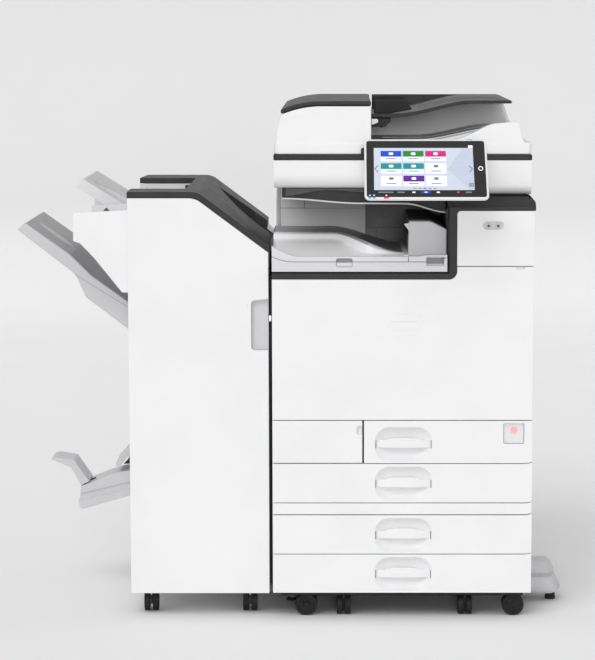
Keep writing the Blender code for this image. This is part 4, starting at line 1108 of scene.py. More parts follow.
def belly():
    """The dark curved moulding that closes the exit cavity's top, with a paler lip along its front edge: a
    real lip, its paler grey partly painted highlight.
    """
    underside = curve(BELLY, 0.022, 0.3915, 30)
    top = 0.9752
    body = prism(underside + [(0.3915, top), (0.0225, top)], "Y", 0.068, CAVITY_BACK - 0.001)
    piece("scanner_belly", body, DARK, bevel=0.0015)
    lip = underside + [(x, z + 0.0035) for x, z in reversed(underside)]
    # The lip's paler grey is partly painted highlight, for the light caught along its edge.
    piece("scanner_belly_lip", prism(lip, "Y", 0.06, 0.0685), TRAY, bevel=0.001)
    sweep = between([(0.022, 0.956), (0.12, 0.97), (0.3915, 0.95)])
    upper = curve(sweep, 0.03, 0.3915, 24)
    shelf = upper + [(0.3915, 0.9751), (0.03, 0.9751)]
    piece("scanner_belly_shelf", prism(shelf, "Y", 0.063, 0.069), SLATE, bevel=0.0008)


def glass_and_carriage():
    """The platen glass with its scale, and the carriage's light bar."""
    carry("platen_glass", GLASS)
    carry("scan_carriage", DARK)
    light = prism(rectangle(0.05, 0.07, 0.06, 0.57, 0.003), "Z", 1.0355, 1.0378)
    piece("carriage_light_bar", light, TILE_WHITE, "scan_carriage", bevel=0.0006)
    strip = block((0.0285, 0.085, SCANNER_TOP - 0.0006), (0.0385, 0.4, SCANNER_TOP + 0.0001))
    piece("platen_scale", strip, PALE, bevel=0.0002, segments=1)


# ---------------------------------------------------------------- document feeder


def arch(drop):
    """The feed cover's arch, from its left tip to where it is level, set down by a drop."""
    top = FEEDER_TOP - drop
    return curve(lambda x: top - 0.0185 * (max(0.0, 0.112 - x) / 0.0915) ** 2.1, 0.0205, 0.115, 16)


TABLE = between([(0.2245, 1.1303), (0.27, 1.1303), (0.46, 1.162), (0.543, 1.162)])


def feeder_base():
    """The feeder's body: its flat base, its left body, and the parts under its covers."""
    body = "document_feeder"
    low, high = (0.0055, 0.042, SCANNER_TOP + 0.0009), (0.5812, 0.5995, FEEDER_STEP)
    outline = rectangle(low[0], low[1], high[0], high[1], 0.01)
    piece("feeder_lower", prism(outline, "Z", low[2], high[2]), WHITE, body, ["feeder_base"], 0.004, 5)
    pad = prism(rectangle(0.032, 0.078, 0.508, 0.408, 0.004), "Z", SCANNER_TOP + 0.00035, SCANNER_TOP + 0.002)
    piece("feeder_platen_pad", pad, WHITE, body, bevel=0.0005)
    left_body = [(0.0095, 1.0745), (FEED_RIGHT, 1.0745), (FEED_RIGHT, FEEDER_TOP - 0.0112)]
    left_body += [(x + 0.0016, z) for x, z in reversed(arch(0.0112))] + [(0.017, 1.124), (0.0122, 1.1094)]
    piece("feeder_left_body", prism(left_body, "Y", 0.044, 0.598), WHITE, body, bevel=0.0022, segments=4)
    output_tray(body)
    right_block(body)
    lever = rounded([(0.224, 1.115, 0.002), (0.2395, 1.1215, 0.003), (0.237, 1.129, 0.002), (0.224, 1.129)])
    piece("feeder_lever", prism(lever, "Y", 0.086, 0.096), WHITE, body, bevel=0.001)
    piece(
        "feeder_hinge_block", block((0.2226, 0.567, 1.13), (0.2236, 0.597, 1.1694)), DARK, body,
        bevel=0.0006,
    )
    housing = rounded([
        (0.223, 1.109), (0.256, 1.109, 0.004), (0.268, 1.121, 0.004), (0.268, 1.1285), (0.223, 1.1285),
    ])
    piece("feeder_exit_housing", prism(housing, "Y", 0.15, 0.4), DARK, body, bevel=0.001)
    for number in range(3):
        y = 0.19 + number * 0.08
        roller = rod((0.248, y, 1.111), 0.0055, 0.022, "Y", 28)
        piece(f"feeder_exit_roller_{number + 1}", roller, RUBBER, body, bevel=0.001)


def output_tray(body):
    """The grey surface that originals land on: it dips, then rises to the right, inside a white front rim."""
    height = between([(0.2225, 1.0785), (0.33, 1.079), (0.51, 1.106), (0.558, 1.111)])
    surface = curve(height, 0.2228, 0.5575, 24)
    outline = [(0.2228, 1.07), *surface, (0.56, 1.07)]
    piece("feeder_output_surface", prism(outline, "Y", 0.084, 0.408), LEDGE, body, bevel=0.001)
    for number in range(2):
        y = 0.15 + number * 0.11
        top = [(x, z + 0.0016) for x, z in surface[2:-2]]
        rib = [(x, z - 0.003) for x, z in surface[2:-2]] + list(reversed(top))
        piece(f"feeder_output_rib_{number + 1}", prism(rib, "Y", y, y + 0.0028), LEDGE, body, bevel=0.0008)
    rim_top = between([(0.33, 1.0776), (0.405, 1.085), (0.51, 1.1209), (0.546, 1.124)])
    rim = curve(rim_top, 0.33, 0.546, 24)
    rim = rounded([(0.335, 1.074), *rim[1:], (0.553, 1.1205, 0.004), (0.5609, 1.086, 0.004), (0.569, 1.074)])
    piece("feeder_front_rim", prism(rim, "Y", 0.044, 0.085), WHITE, body, bevel=0.0018, segments=4)


def right_block(body):
    """The rear of the base under the original table, up to the table's underside."""
    under = curve(lambda x: TABLE(x) - 0.0015, 0.2228, 0.5, 24)
    outline = [(0.2228, 1.07), (0.57, 1.07), (0.564, 1.086), (0.556, 1.11), (0.542, 1.152)]
    outline += list(reversed(under))
    piece("feeder_rear_body", prism(outline, "Y", 0.407, 0.5975), WHITE, body, bevel=0.002, segments=4)
    face = [(0.2228, 1.072), (0.553, 1.072), (0.548, 1.115), (0.536, 1.148)]
    face += [(x, z - 0.0012) for x, z in reversed(under) if x < 0.49]
    piece("feeder_rear_face", prism(face, "Y", 0.4045, 0.408), EXIT, body, bevel=0.0006)


def feed_cover():
    """The dark arched cover over the feed rollers."""
    flat = [(FEED_RIGHT - 0.0004, FEEDER_TOP), (FEED_RIGHT - 0.0004, FEEDER_TOP - 0.0095)]
    outline = arch(0.0) + flat + list(reversed(arch(0.0095)))
    piece(
        "feed_cover_shell", prism(outline, "Y", 0.044, 0.598), DARK, "feed_cover", ["feed_cover"], 0.003, 5,
        45,
    )
    for number in range(2):
        y = 0.2 + number * 0.24
        arm = rounded([(0.15, 1.1605), (0.15, 1.1595), (0.205, 1.1592), (0.205, 1.1605)])
        mesh = prism(arm, "Y", y, y + 0.003)
        piece(f"feed_cover_rib_{number + 1}", mesh, DARK, "feed_cover", bevel=0.0002, segments=1)


def original_table():
    """The dark table that originals are laid on, its rail and its two side guides."""
    body = "original_table"
    under = curve(TABLE, 0.2245, 0.5385, 28)
    outline = under + [(0.543, 1.164), (0.5405, 1.169)]
    outline += list(reversed(curve(lambda x: min(TABLE(x) + 0.008, 1.169), 0.2245, 0.538, 28)))
    # The plate takes a lighter grey than its dark front edge: painted light on the lit top.
    piece("table_plate", prism(outline, "Y", 0.1345, 0.5665), SLATE, body, ["original_table"], 0.0016, 4)
    piece("table_front_edge", prism(outline, "Y", 0.13, 0.1348), DARK, body, bevel=0.0014, segments=3)
    rail = curve(lambda x: TABLE(x) + 0.002, 0.23, 0.535, 24)
    rail += [(0.54, 1.165), (0.536, 1.1695), (0.23, 1.1695)]
    piece("table_rail", prism(rail, "Y", 0.566, 0.5965), DARK, body, bevel=0.0018, segments=4)
    for number in range(3):
        y = 0.23 + number * 0.075
        top = curve(lambda x: min(TABLE(x) + 0.0088, 1.1697), 0.335, 0.52, 16)
        rib = [(x, z - 0.002) for x, z in top] + list(reversed(top))
        piece(f"table_rib_{number + 1}", prism(rib, "Y", y, y + 0.004), SLATE, body, bevel=0.0002, segments=1)
    outline = rounded([
        (0.23, 1.1389), (0.268, 1.1389), (0.3168, 1.1478, 0.002), (0.302, 1.169, 0.012),
        (0.23, 1.169, 0.003),
    ], 8)
    for side, y in (("front", 0.15), ("rear", 0.463)):
        node = f"{side}_guide"
        piece(f"{node}_fence", prism(outline, "Y", y, y + 0.013), BLACK, node, [node], 0.002, 4)


# ---------------------------------------------------------------- operation panel


def on_panel(mesh):
    """Carry a mesh drawn flat, X right and Y up the panel from its top edge down, onto the leaning panel."""
    tilt = Matrix.Rotation(math.pi / 2 - PANEL_LEAN, 4, "X")
    mesh.transform(Matrix.Translation((PANEL_LEFT, PANEL_TOP_Y, PANEL_TOP_Z)) @ tilt)
    return mesh


def panel_plate(left, top, right, bottom, radius, low, high):
    """A rounded plate on the panel: distances from its left edge and down from its top edge."""
    return on_panel(prism(rectangle(left, -bottom, right, -top, radius, 5), "Z", low, high))


def panel_piece(name, look, *sizes, bevel=0, stands_for=()):
    """A flat piece of the panel, as panel_plate draws it."""
    return piece(name, panel_plate(*sizes), look, "operation_panel", stands_for, bevel)


def operation_panel():
    """The tilting panel: a white shell, a black glass and the display in it."""
    body = "operation_panel"
    shell = loft([
        place(rectangle(inset, -PANEL_LENGTH + inset, PANEL_WIDTH - inset, -inset, radius, 8), "Z", z)
        for z, inset, radius in (
            (-0.016, 0.016, 0.006), (-0.0145, 0.012, 0.008), (-0.0085, 0.003, 0.01), (-0.006, 0.0008, 0.011),
            (-0.003, 0.0, 0.011), (-0.0008, 0.0006, 0.0105), (0.0, 0.0018, 0.0095),
        )
    ])
    well = prism(rectangle(0.0046, -0.1815, PANEL_WIDTH - 0.0046, -0.0055, 0.006, 8), "Z", -0.0012, 0.01)
    piece("panel_shell", on_panel(carved(shell, [well])), WHITE, body, ["panel_housing"], 0)
    sizes = (0.005, 0.006, PANEL_WIDTH - 0.005, 0.181, 0.006, -0.0011, -0.0002)
    panel_piece("panel_bezel", BEZEL, *sizes, bevel=0.0003, stands_for=["panel_screen"])
    right, top, bottom = 0.24, 0.0285, 0.1598
    panel_piece("display", DISPLAY, 0.0213, top, right, bottom, 0.001, -0.0004, 0.0)
    facet = [(0.183, -0.095), (0.218, -top), (right, -top), (right, -bottom), (0.23, -bottom)]
    piece("display_facet", on_panel(prism(facet, "Z", -0.0003, 0.00006)), DISPLAY_FACET, body, bevel=0)
    tiles()
    page_marks(body)
    foot_marks()
    side_keys(body)


def tiles():
    """Three rows of three plain app tiles: a coloured head with a pale mark over a white foot."""
    heads = (
        (TILE_BLUE, TILE_GREEN, TILE_PINK), (TILE_TEAL, TILE_TEAL, TILE_WHITE),
        (TILE_WHITE, TILE_PURPLE, TILE_WHITE),
    )
    wide, tall, head = 0.0455, 0.032, 0.018
    for row, looks in enumerate(heads):
        for column, look in enumerate(looks):
            left, top = 0.0363 + column * 0.0492, 0.0382 + row * 0.0388
            name = f"tile_{row + 1}_{column + 1}"
            middle, right = left + wide / 2, left + wide
            panel_piece(f"{name}_foot", TILE_WHITE, left, top, right, top + tall, 0.0012, -0.0002, 0.0002)
            if look is not TILE_WHITE:
                panel_piece(f"{name}_head", look, left, top, right, top + head, 0.0012, 0.0, 0.0004)
            mark = TILE_GREY if look is TILE_WHITE else TILE_WHITE
            sizes = (middle - 0.005, top + 0.005, middle + 0.005, top + 0.013, 0.0025, 0.0003, 0.0006)
            panel_piece(f"{name}_mark", mark, *sizes)
            sizes = (middle - 0.011, top + 0.0232, middle + 0.011, top + 0.0256, 0.0008, 0.0001, 0.0004)
            panel_piece(f"{name}_line", TILE_GREY, *sizes)


def page_marks(body):
    """The arrows at both sides of the tiles and the row of dots under them."""
    for side, x, way in (("left", 0.0275, -1), ("right", 0.233, 1)):
        tip, tail, thick = x + way * 0.003, x - way * 0.0032, way * 0.0022
        outline = [
            (tail, -0.0845), (tip, -0.0945), (tail, -0.1045), (tail + thick, -0.1045),
            (tip + thick, -0.0945), (tail + thick, -0.0845),
        ]
        piece(f"page_arrow_{side}", on_panel(prism(outline, "Z", 0.0, 0.0005)), TILE_GREY, body, bevel=0)
    for number in range(5):
        left = 0.106 + number * 0.011
        look = TILE_BLUE if number == 2 else TILE_GREY
        panel_piece(f"page_dot_{number + 1}", look, left, 0.154, left + 0.0078, 0.1558, 0.0008, 0.0, 0.0004)


def foot_marks():
    """The keys along the panel's foot, and the status lights under and over the glass."""
    middle, flat, high = 0.1668, 0.004, 0.0066
    keys = (
        (0.03, 0.033, TILE_GREY), (0.072, 0.016, TILE_GREY), (0.104, 0.007, TILE_WHITE),
        (0.123, 0.0215, TILE_BLUE), (0.157, 0.007, TILE_WHITE), (0.201, 0.006, LED_RED),
        (0.22, 0.013, TILE_GREY),
    )
    for number, (left, wide, look) in enumerate(keys):
        half = (high if look is TILE_BLUE else flat) / 2
        sizes = (left, middle - half, left + wide, middle + half, 0.0012, -0.0003, 0.0003)
        panel_piece(f"foot_key_{number + 1}", look, *sizes)
    panel_piece("foot_key_sign", TILE_WHITE, 0.1305, 0.1654, 0.137, 0.1682, 0.0012, 0.0, 0.0005)
    lights = (("a", 0.009, 0.0055, LED_BLUE), ("b", 0.018, 0.0055, LED_BLUE), ("c", 0.042, 0.011, LED_RED))
    for name, left, wide, look in lights:
        centre = left + wide / 2
        panel_piece(f"status_light_{name}", look, left, 0.1812, left + wide, 0.1858, 0.0008, -0.0016, 0.0003)
        sizes = (centre - 0.0018, 0.1745, centre + 0.0018, 0.1775, 0.001, -0.0003, 0.0002)
        panel_piece(f"status_sign_{name}", TILE_WHITE, *sizes)
    panel_piece("status_light_top", LED_BLUE, 0.229, 0.0012, 0.24, 0.0034, 0.0006, -0.001, 0.0002)


def side_keys(body):
    """The note key, the grid key and the home ring at the panel's right."""
    panel_piece("panel_note_key", TILE_WHITE, 0.23, 0.0205, 0.24, 0.0285, 0.0008, -0.0003, 0.0003)
    grid = panel_plate(0.2285, 0.1385, 0.2385, 0.1495, 0.001, 0.0, 0.0005)
    inside_grid = panel_plate(0.23, 0.14, 0.237, 0.148, 0.0006, -0.001, 0.001)
    piece("panel_grid_key", carved(grid, [inside_grid]), TILE_GREY, body, bevel=0)
    for number in range(3):
        z = 0.1415 + number * 0.0022
        sizes = (0.231, z, 0.236, z + 0.001, 0.0002, 0.0, 0.0005)
        panel_piece(f"panel_grid_line_{number + 1}", TILE_GREY, *sizes)
    ring = prism(oval((0.2555, -0.093), (0.0055, 0.007), 28), "Z", -0.0003, 0.0003)
    core = prism(oval((0.2555, -0.093), (0.0036, 0.0048), 28), "Z", -0.001, 0.001)
    piece("panel_home_ring", on_panel(carved(ring, [core])), TILE_WHITE, body, bevel=0)


# ---------------------------------------------------------------- finisher


def roof(drop, left=FIN_LEFT, right=FIN_RIGHT, radius=0.045):
    """The finisher's roof line, flat and then sloping down to the right, set in by a drop all along."""
    angle = math.atan(ROOF_SLOPE)
    low = FIN_LOW - drop / math.cos(angle) + ROOF_SLOPE * (FIN_RIGHT - right)
    return [
        (right, low), (FIN_BEND - drop * math.tan(angle / 2), FIN_TOP - drop, radius),
        (left, FIN_TOP - drop),
    ]


def finisher_casing():
    """The finisher's shell, hollow, with its paper slots, vents, screws and wings."""
    front, wall = 0.0345, 0.006
    top = LID_THICK + 0.0006
    outer = rounded([(FIN_LEFT, FIN_BOTTOM), (FIN_RIGHT, FIN_BOTTOM), *roof(top)], 10)
    left, right, low = FIN_LEFT + wall, FIN_RIGHT - wall, FIN_BOTTOM + wall
    inner = rounded([(left, low), (right, low), *roof(top + wall, left, right)], 10)
    cuts = [prism(inner, "Y", front - 0.01, FIN_BACK - wall)]
    for x, low, high in ((FIN_LEFT, 0.846, 0.876), (FIN_LEFT, 0.32, 0.352), (FIN_RIGHT, 0.796, 0.814)):
        cuts.append(block((x - 0.02, 0.15, low), (x + 0.02, 0.49, high)))
    cuts.append(block((FIN_LEFT - 0.01, 0.128, 0.948), (LID_NOTCH - 0.002, 0.498, 0.97)))
    cuts += [block((FIN_LEFT - 0.001, y, 0.38), (FIN_LEFT + 0.002, y + 0.012, 0.84)) for y in (0.165, 0.463)]
    cuts.append(trough(0.0056, 0.03))
    heights = (0.08, 0.285, 0.32, 0.545, 0.58, 0.82)
    spots = [(x, FIN_BACK, z) for x in (FIN_LEFT + 0.02, FIN_RIGHT - 0.02) for z in heights]
    cuts += [rod(spot, 0.0046, 0.0044, "Y", 24) for spot in spots]
    cuts += [vent_slot(FIN_LEFT + 0.06 + 0.014 * n, FIN_BACK, 0.66, 0.74) for n in range(14)]
    left, right = FIN_LEFT + 0.01, FIN_RIGHT - 0.01
    cuts += [block((left, FIN_BACK - 0.0008, z), (right, FIN_BACK + 0.01, z + SEAM)) for z in (0.3, 0.56)]
    mesh = carved(prism(outer, "Y", front, FIN_BACK), cuts)
    piece("finisher_shell", mesh, WHITE, stands_for=["finisher_casing"], bevel=0.0022, segments=4)
    output_wings()
    screw_heads("finisher_screw", [(x, y - 0.0021, z) for x, y, z in spots], "Y")
    output_wing_clip()
    gap_parts()


def output_wings():
    """The wings in front of and behind the output trays: a white outer wall, each with a grey inner one."""
    wing = rounded([
        (FIN_LEFT + 0.004, 0.9246), (FIN_LEFT + 0.004, 0.7364), (-0.3412, 0.7371, 0.004),
        (-0.4036, 0.8156, 0.02), (-0.4348, 0.8486, 0.01), (-0.4505, 0.8542, 0.003),
        (-0.4496, 0.9176, 0.003),
    ])
    inner_wing = rounded([
        (FIN_LEFT + 0.002, 0.938, 0.004), (FIN_LEFT + 0.002, 0.76), (-0.35, 0.76), (-0.408, 0.835, 0.01),
        (-0.408, 0.934, 0.003),
    ])
    for side, y, inwards in (("front", 0.078, 0.0102), ("rear", 0.552, -0.0102)):
        piece(f"output_wing_{side}", prism(wing, "Y", y, y + 0.01), WHITE, bevel=0.002, segments=4)
        inner = prism(inner_wing, "Y", y + inwards, y + inwards + 0.0098)
        piece(f"output_wing_{side}_inner", inner, PALE, bevel=0.0015)


def output_wing_clip():
    """A small clip on the front wing's top edge."""
    clip = rounded([(-0.382, 0.9215), (-0.368, 0.9215), (-0.3735, 0.9285, 0.001), (-0.3765, 0.9285, 0.001)])
    piece("output_wing_clip", prism(clip, "Y", 0.086, 0.096), SLATE, bevel=0.0005)


def gap_parts():
    """What shows in the gap between the finisher and the printer: a black seal and the docking bracket."""
    seal = block((FIN_RIGHT + 0.0008, 0.045, 0.07), (-0.0006, 0.3, 0.78))
    piece("docking_seal", seal, BLACK, bevel=0.001)
    left = FIN_RIGHT + 0.0006
    bracket = rounded([(0.02, 0.6785), (0.045, 0.6785), (0.045, 0.6925), (0.02, 0.6925, 0.003)])
    piece("docking_bracket", prism(bracket, "X", left, -0.0012), STEEL, bevel=0.0005)
    plate = rounded([(left, 0.83), (-0.0002, 0.83), (-0.0002, 0.856, 0.001), (left, 0.848)])
    piece("joint_plate", prism(plate, "Y", 0.09, 0.55), SLATE, bevel=0.0004)


def finisher_door():
    """The finisher's front door, with a grey grip recess at its right edge."""
    left, right, low = FIN_LEFT + 0.0006, FIN_RIGHT - 0.0006, FIN_BOTTOM + 0.0006
    outline = rounded([(left, low), (right, low), *roof(LID_THICK + 0.0012, left, right)], 12)
    grip = rounded([(-0.0464, 0.614, 0.009), (0.01, 0.614), (0.01, 0.732), (-0.0464, 0.7262, 0.009)], 8)
    dimple = [rod((-0.054, FIN_FRONT, z), 0.0012, 0.003, "Y", 16) for z in (0.7105, 0.7155)]
    mesh = carved(prism(outline, "Y", FIN_FRONT, 0.033), [prism(grip, "Y", 0.005, 0.027), *dimple])
    piece("finisher_front", mesh, WHITE, "finisher_door", ["finisher_door"], 0.0022, 4)
    liner = rounded([(-0.046, 0.6145, 0.0086), (right, 0.6145), (right, 0.7312), (-0.046, 0.7257, 0.0086)], 8)
    hollow = rounded([
        (-0.0448, 0.6157, 0.0075), (0.01, 0.6157), (0.01, 0.7302), (-0.0448, 0.7245, 0.0075),
    ], 8)
    mesh = carved(prism(liner, "Y", 0.0162, 0.0269), [prism(hollow, "Y", 0.005, 0.0255)])
    piece("finisher_grip_liner", mesh, PALE, "finisher_door", bevel=0.0006)
    for number in range(6):
        z = 0.1 + number * 0.12
        rib = block((left + 0.03, 0.0325, z), (right - 0.07, 0.0342, z + 0.003))
        piece(f"finisher_door_rib_{number + 1}", rib, WHITE, "finisher_door", bevel=0.0003, segments=2)


def trough(below, lid):
    """The trough down the lid's slope, from an apex near the bend: its floor is set down by a distance and
    its top closed at another. It is level with the slope in front, and deepest against its rear wall."""
    start, full, end, deepest = -0.1407, -0.0347, 0.004, 0.023
    rings = []
    for step in range(17):
        x = start + (end - start) * step / 16
        along = min(1.0, (x - start) / (full - start))
        deep = 0.0003 + deepest * (1 - (1 - along) ** 2)
        front, base = 0.46 - 0.395 * (1 - (1 - along) ** 2), 0.472 + 0.023 * along
        floor = [
            (front + (base - front) * n / 8, 0.0004 - (deep + 0.0004) * (n / 8) ** 1.4 - below)
            for n in range(9)
        ]
        rear = base + 0.001 + (0.024 * along) + below
        section = [(front - below, lid), *floor, (rear, 0.0 if lid > 0 else lid), (rear, lid + 0.001)]
        rings.append([Vector((x, y, FIN_TOP - ROOF_SLOPE * (x - FIN_BEND) + z)) for y, z in section])
    return loft(rings)


def finisher_lid():
    """The dark lid: rounded front band, open notch over the upper exit, and a scoop down its slope."""
    outline = rounded([*roof(0.0), *reversed(roof(LID_THICK))], 14)
    notch = block((FIN_LEFT - 0.01, 0.125, 0.9), (LID_NOTCH, 0.5, 1.0))
    end = rounded([(-0.3335, 0.5005), (-0.31, 0.5005), (-0.31, FIN_BACK), (-0.324, FIN_BACK, 0.003)])
    left_end = prism(end, "Z", FIN_TOP - LID_THICK, FIN_TOP)
    liner = trough(0.0035, -0.001)
    end_cut = block((FIN_RIGHT, 0.0, 0.75), (0.02, 0.63, 0.9))
    corner_cut = block((-0.025, 0.5, 0.75), (0.02, 0.63, 0.93))
    cuts = [notch, trough(0.0, 0.03), end_cut, corner_cut]
    mesh = carved(prism(outline, "Y", FIN_FRONT, FIN_BACK), cuts, [left_end, liner])
    piece("finisher_top", mesh, DARK, "finisher_lid", ["finisher_lid"], 0.0026, 4)
    wall = block((-0.333, 0.493, 0.93), (LID_NOTCH - 0.003, 0.4985, FIN_TOP - LID_THICK - 0.0006))
    shelf = block((FIN_LEFT + 0.0008, 0.132, 0.93), (LID_NOTCH - 0.003, 0.495, 0.942))
    lip = block((-0.3325, 0.486, 0.93), (LID_NOTCH - 0.003, 0.494, 0.9465))
    piece("upper_exit_plate", carved(shelf, [], [wall, lip]), PALE, bevel=0.0012)
    guide = rounded([
        (-0.219, 0.9425), (-0.2012, 0.9425), (-0.2012, 0.954), (-0.206, 0.9555, 0.002),
        (-0.215, 0.95, 0.002),
    ])
    piece("upper_exit_guide", prism(guide, "Y", 0.134, 0.492), INNER, bevel=0.0006)
    pin = block((-0.222, 0.478, 0.945), (-0.208, 0.4925, 0.953))
    piece("upper_exit_pin", pin, BLACK, bevel=0.0005)


def lens(centre, radii, corner, slope, low, high):
    """A lens-shaped oval in a surface that rises to the left from a corner (x, z), between two levels."""
    outline = []
    for step in range(32):
        along, across = math.cos(step * math.pi / 16), math.sin(step * math.pi / 16)
        outline.append((centre[0] + radii[0] * along, centre[1] + radii[1] * across * abs(across) ** 0.5))
    rings = []
    for lift in (low, high):
        rings.append([Vector((x, y, corner[1] + (corner[0] - x) * slope + lift)) for x, y in outline])
    return loft(rings)


def output_trays():
    """The upper tray, and the shift tray below it that moves down as it fills."""
    inner = FIN_LEFT - 0.002
    upper = rounded([(inner, 0.8889), (inner, 0.92), (-0.4369, 0.9901, 0.005), (-0.4509, 0.972, 0.004)], 8)
    leaf = lens((-0.365, 0.25), (0.056, 0.038), (inner, 0.92), 0.6242, -0.003, 0.02)
    mesh = carved(prism(upper, "Y", 0.16, 0.48), [leaf])
    # The shell takes a lighter grey than the bed laid over its top: painted light on the front, painted shade
    # on the top.
    piece("upper_output_tray", mesh, EXIT, stands_for=["upper_tray"], bevel=0.003, segments=4)
    bed = [(inner, 0.919), (inner, 0.9206), (-0.433, 0.988), (-0.433, 0.9864)]
    mesh = carved(prism(bed, "Y", 0.164, 0.476), [leaf])
    piece("upper_output_bed", mesh, TRAY, bevel=0.0003, segments=2)
    lower = rounded([
        (inner, 0.637), (inner, 0.7008), (-0.4182, 0.7686, 0.03), (-0.4655, 0.8161, 0.03),
        (-0.5685, 0.8899, 0.006), (-0.5852, 0.8734, 0.003), (-0.4579, 0.7741), (-0.4538, 0.7709),
        (-0.4306, 0.7182, 0.004),
    ], 8)
    piece("shift_tray_shell", prism(lower, "Y", 0.15, 0.49), TRAY, "shift_tray", ["shift_tray"], 0.003, 4)
    # The bed is a darker sheet over the tray's top: painted shade, as the top lies in less light than the
    # front.
    bed = rounded([
        (inner, 0.6997), (-0.4182, 0.7675, 0.03), (-0.4655, 0.815, 0.03), (-0.566, 0.8872),
        (-0.566, 0.8888), (-0.4655, 0.8167, 0.03), (-0.4182, 0.7692, 0.03), (inner, 0.7014),
    ], 8)
    piece("shift_tray_bed", prism(bed, "Y", 0.1545, 0.4855), BED_PAINTED_SHADE, "shift_tray", bevel=0.0004, segments=2)
    mark = lens((-0.512, 0.285), (0.04, 0.024), (-0.4655, 0.8161), 0.7167, -0.0004, 0.0016)
    piece("shift_tray_lens", mark, TRAY, "shift_tray", bevel=0.0006, segments=2)
    line = [(-0.456, 0.7722), (inner - 0.001, 0.6905), (inner - 0.001, 0.6893), (-0.4556, 0.7709)]
    piece("shift_tray_seam", prism(line, "Y", 0.1497, 0.151), INNER, "shift_tray", bevel=0)
    for side, y in (("front", 0.165), ("rear", 0.463)):
        hook = block((inner - 0.0005, y + 0.001, 0.66), (FIN_LEFT + 0.0018, y + 0.011, 0.7))
        piece(f"shift_tray_hook_{side}", hook, STEEL, "shift_tray", bevel=0.0005)


def booklet_tray():
    """The tray that booklets slide onto, with a step down its front face."""
    low_y, high_y = FIN_MIDDLE - 0.045, FIN_MIDDLE + 0.045
    inner = FIN_LEFT - 0.0006
    tray = rounded([
        (inner, 0.237), (inner, 0.2945), (-0.369, 0.287, 0.03), (-0.3999, 0.2774, 0.03),
        (-0.4631, 0.2521, 0.002), (-0.4634, 0.234), (-0.4684, 0.2171, 0.002), (-0.4655, 0.203),
        (-0.46, 0.1968, 0.006),
    ], 6)
    step = [(inner + 0.01, 0.254), (inner + 0.01, 0.272), (-0.47, 0.2335), (-0.47, 0.2175)]
    mesh = carved(prism(tray, "Y", low_y, high_y), [prism(step, "Y", low_y - 0.002, low_y + 0.003)])
    piece("booklet_tray_shell", mesh, TRAY, stands_for=["booklet_tray"], bevel=0.002, segments=4)
    stopper = rounded([
        (-0.4425, 0.2635), (-0.478, 0.3152, 0.01), (-0.5215, 0.322, 0.003), (-0.5336, 0.3178, 0.001),
        (-0.4855, 0.2975, 0.01), (-0.462, 0.2545),
    ], 8)
    arm = prism(stopper, "Y", low_y + 0.003, high_y - 0.003)
    piece("booklet_stopper_arm", arm, TRAY, "booklet_stopper", ["booklet_stopper"], 0.0014, 4)


def booklet_exit():
    """The flap over the booklet slot, the link that lifts the stopper, and the roller on its arm."""
    inner = FIN_LEFT - 0.0011
    flap = rounded([
        (-0.3775, 0.299, 0.003), (-0.368, 0.302, 0.002), (-0.352, 0.323, 0.02), (inner, 0.339),
        (inner, 0.364), (-0.35, 0.342, 0.02), (-0.38, 0.308, 0.004),
    ], 6)
    piece("booklet_exit_flap", prism(flap, "Y", FIN_MIDDLE - 0.043, FIN_MIDDLE + 0.075), TRAY, bevel=0.0012)
    link = [(-0.439, 0.265), (-0.427, 0.2705), (-0.427, 0.2735), (-0.439, 0.269)]
    mesh = prism(link, "Y", FIN_MIDDLE - 0.039, FIN_MIDDLE - 0.035)
    piece("booklet_stopper_link", mesh, BLACK, bevel=0.0005, segments=2)
    roller = rod((-0.344, FIN_MIDDLE + 0.005, 0.312), 0.008, 0.06, "Y", 28)
    piece("booklet_exit_roller", roller, WHITE, bevel=0.0012)
    arm = rounded([
        (-0.362, 0.304), (-0.343, 0.304, 0.004), (-0.327, 0.32), (-0.327, 0.326), (-0.348, 0.318),
    ])
    piece("booklet_roller_arm", prism(arm, "Y", FIN_MIDDLE - 0.03, FIN_MIDDLE - 0.026), DARK, bevel=0.0006)


# ---------------------------------------------------------------- running gear


def wheel_mesh(centre, axle, wide):
    """A tyre on its hub: a rolled tread and a dished face with a raised boss."""
    outer = rod(centre, 0.0248, wide, axle, 56)
    grooves = []
    for way in (-1, 1):
        shift = Vector((0, 0, 0))
        shift["XYZ".index(axle)] = way * wide / 2
        boss = rod(centre + shift, 0.007, 0.01, axle, 28)
        grooves.append(carved(rod(centre + shift, 0.0175, 0.003, axle, 40), [boss]))
    return carved(outer, grooves)


def twin_wheels(name, centre, axle, body, stands_for=(), gap=0.0196, wide=0.012):
    """Two wheels on one axle."""
    side = Vector((0, 0, 0))
    side["XYZ".index(axle)] = 1.0
    for number, way in enumerate((-1, 1)):
        node = stands_for if number == 0 else ()
        wheel = wheel_mesh(centre + side * way * gap / 2, axle, wide)
        piece(f"{name}_wheel_{number + 1}", wheel, RUBBER, body, node, 0.0022, 4)
    piece(f"{name}_axle", rod(centre, 0.0038, gap, axle, 24), STEEL, body, bevel=0.0004, segments=2)


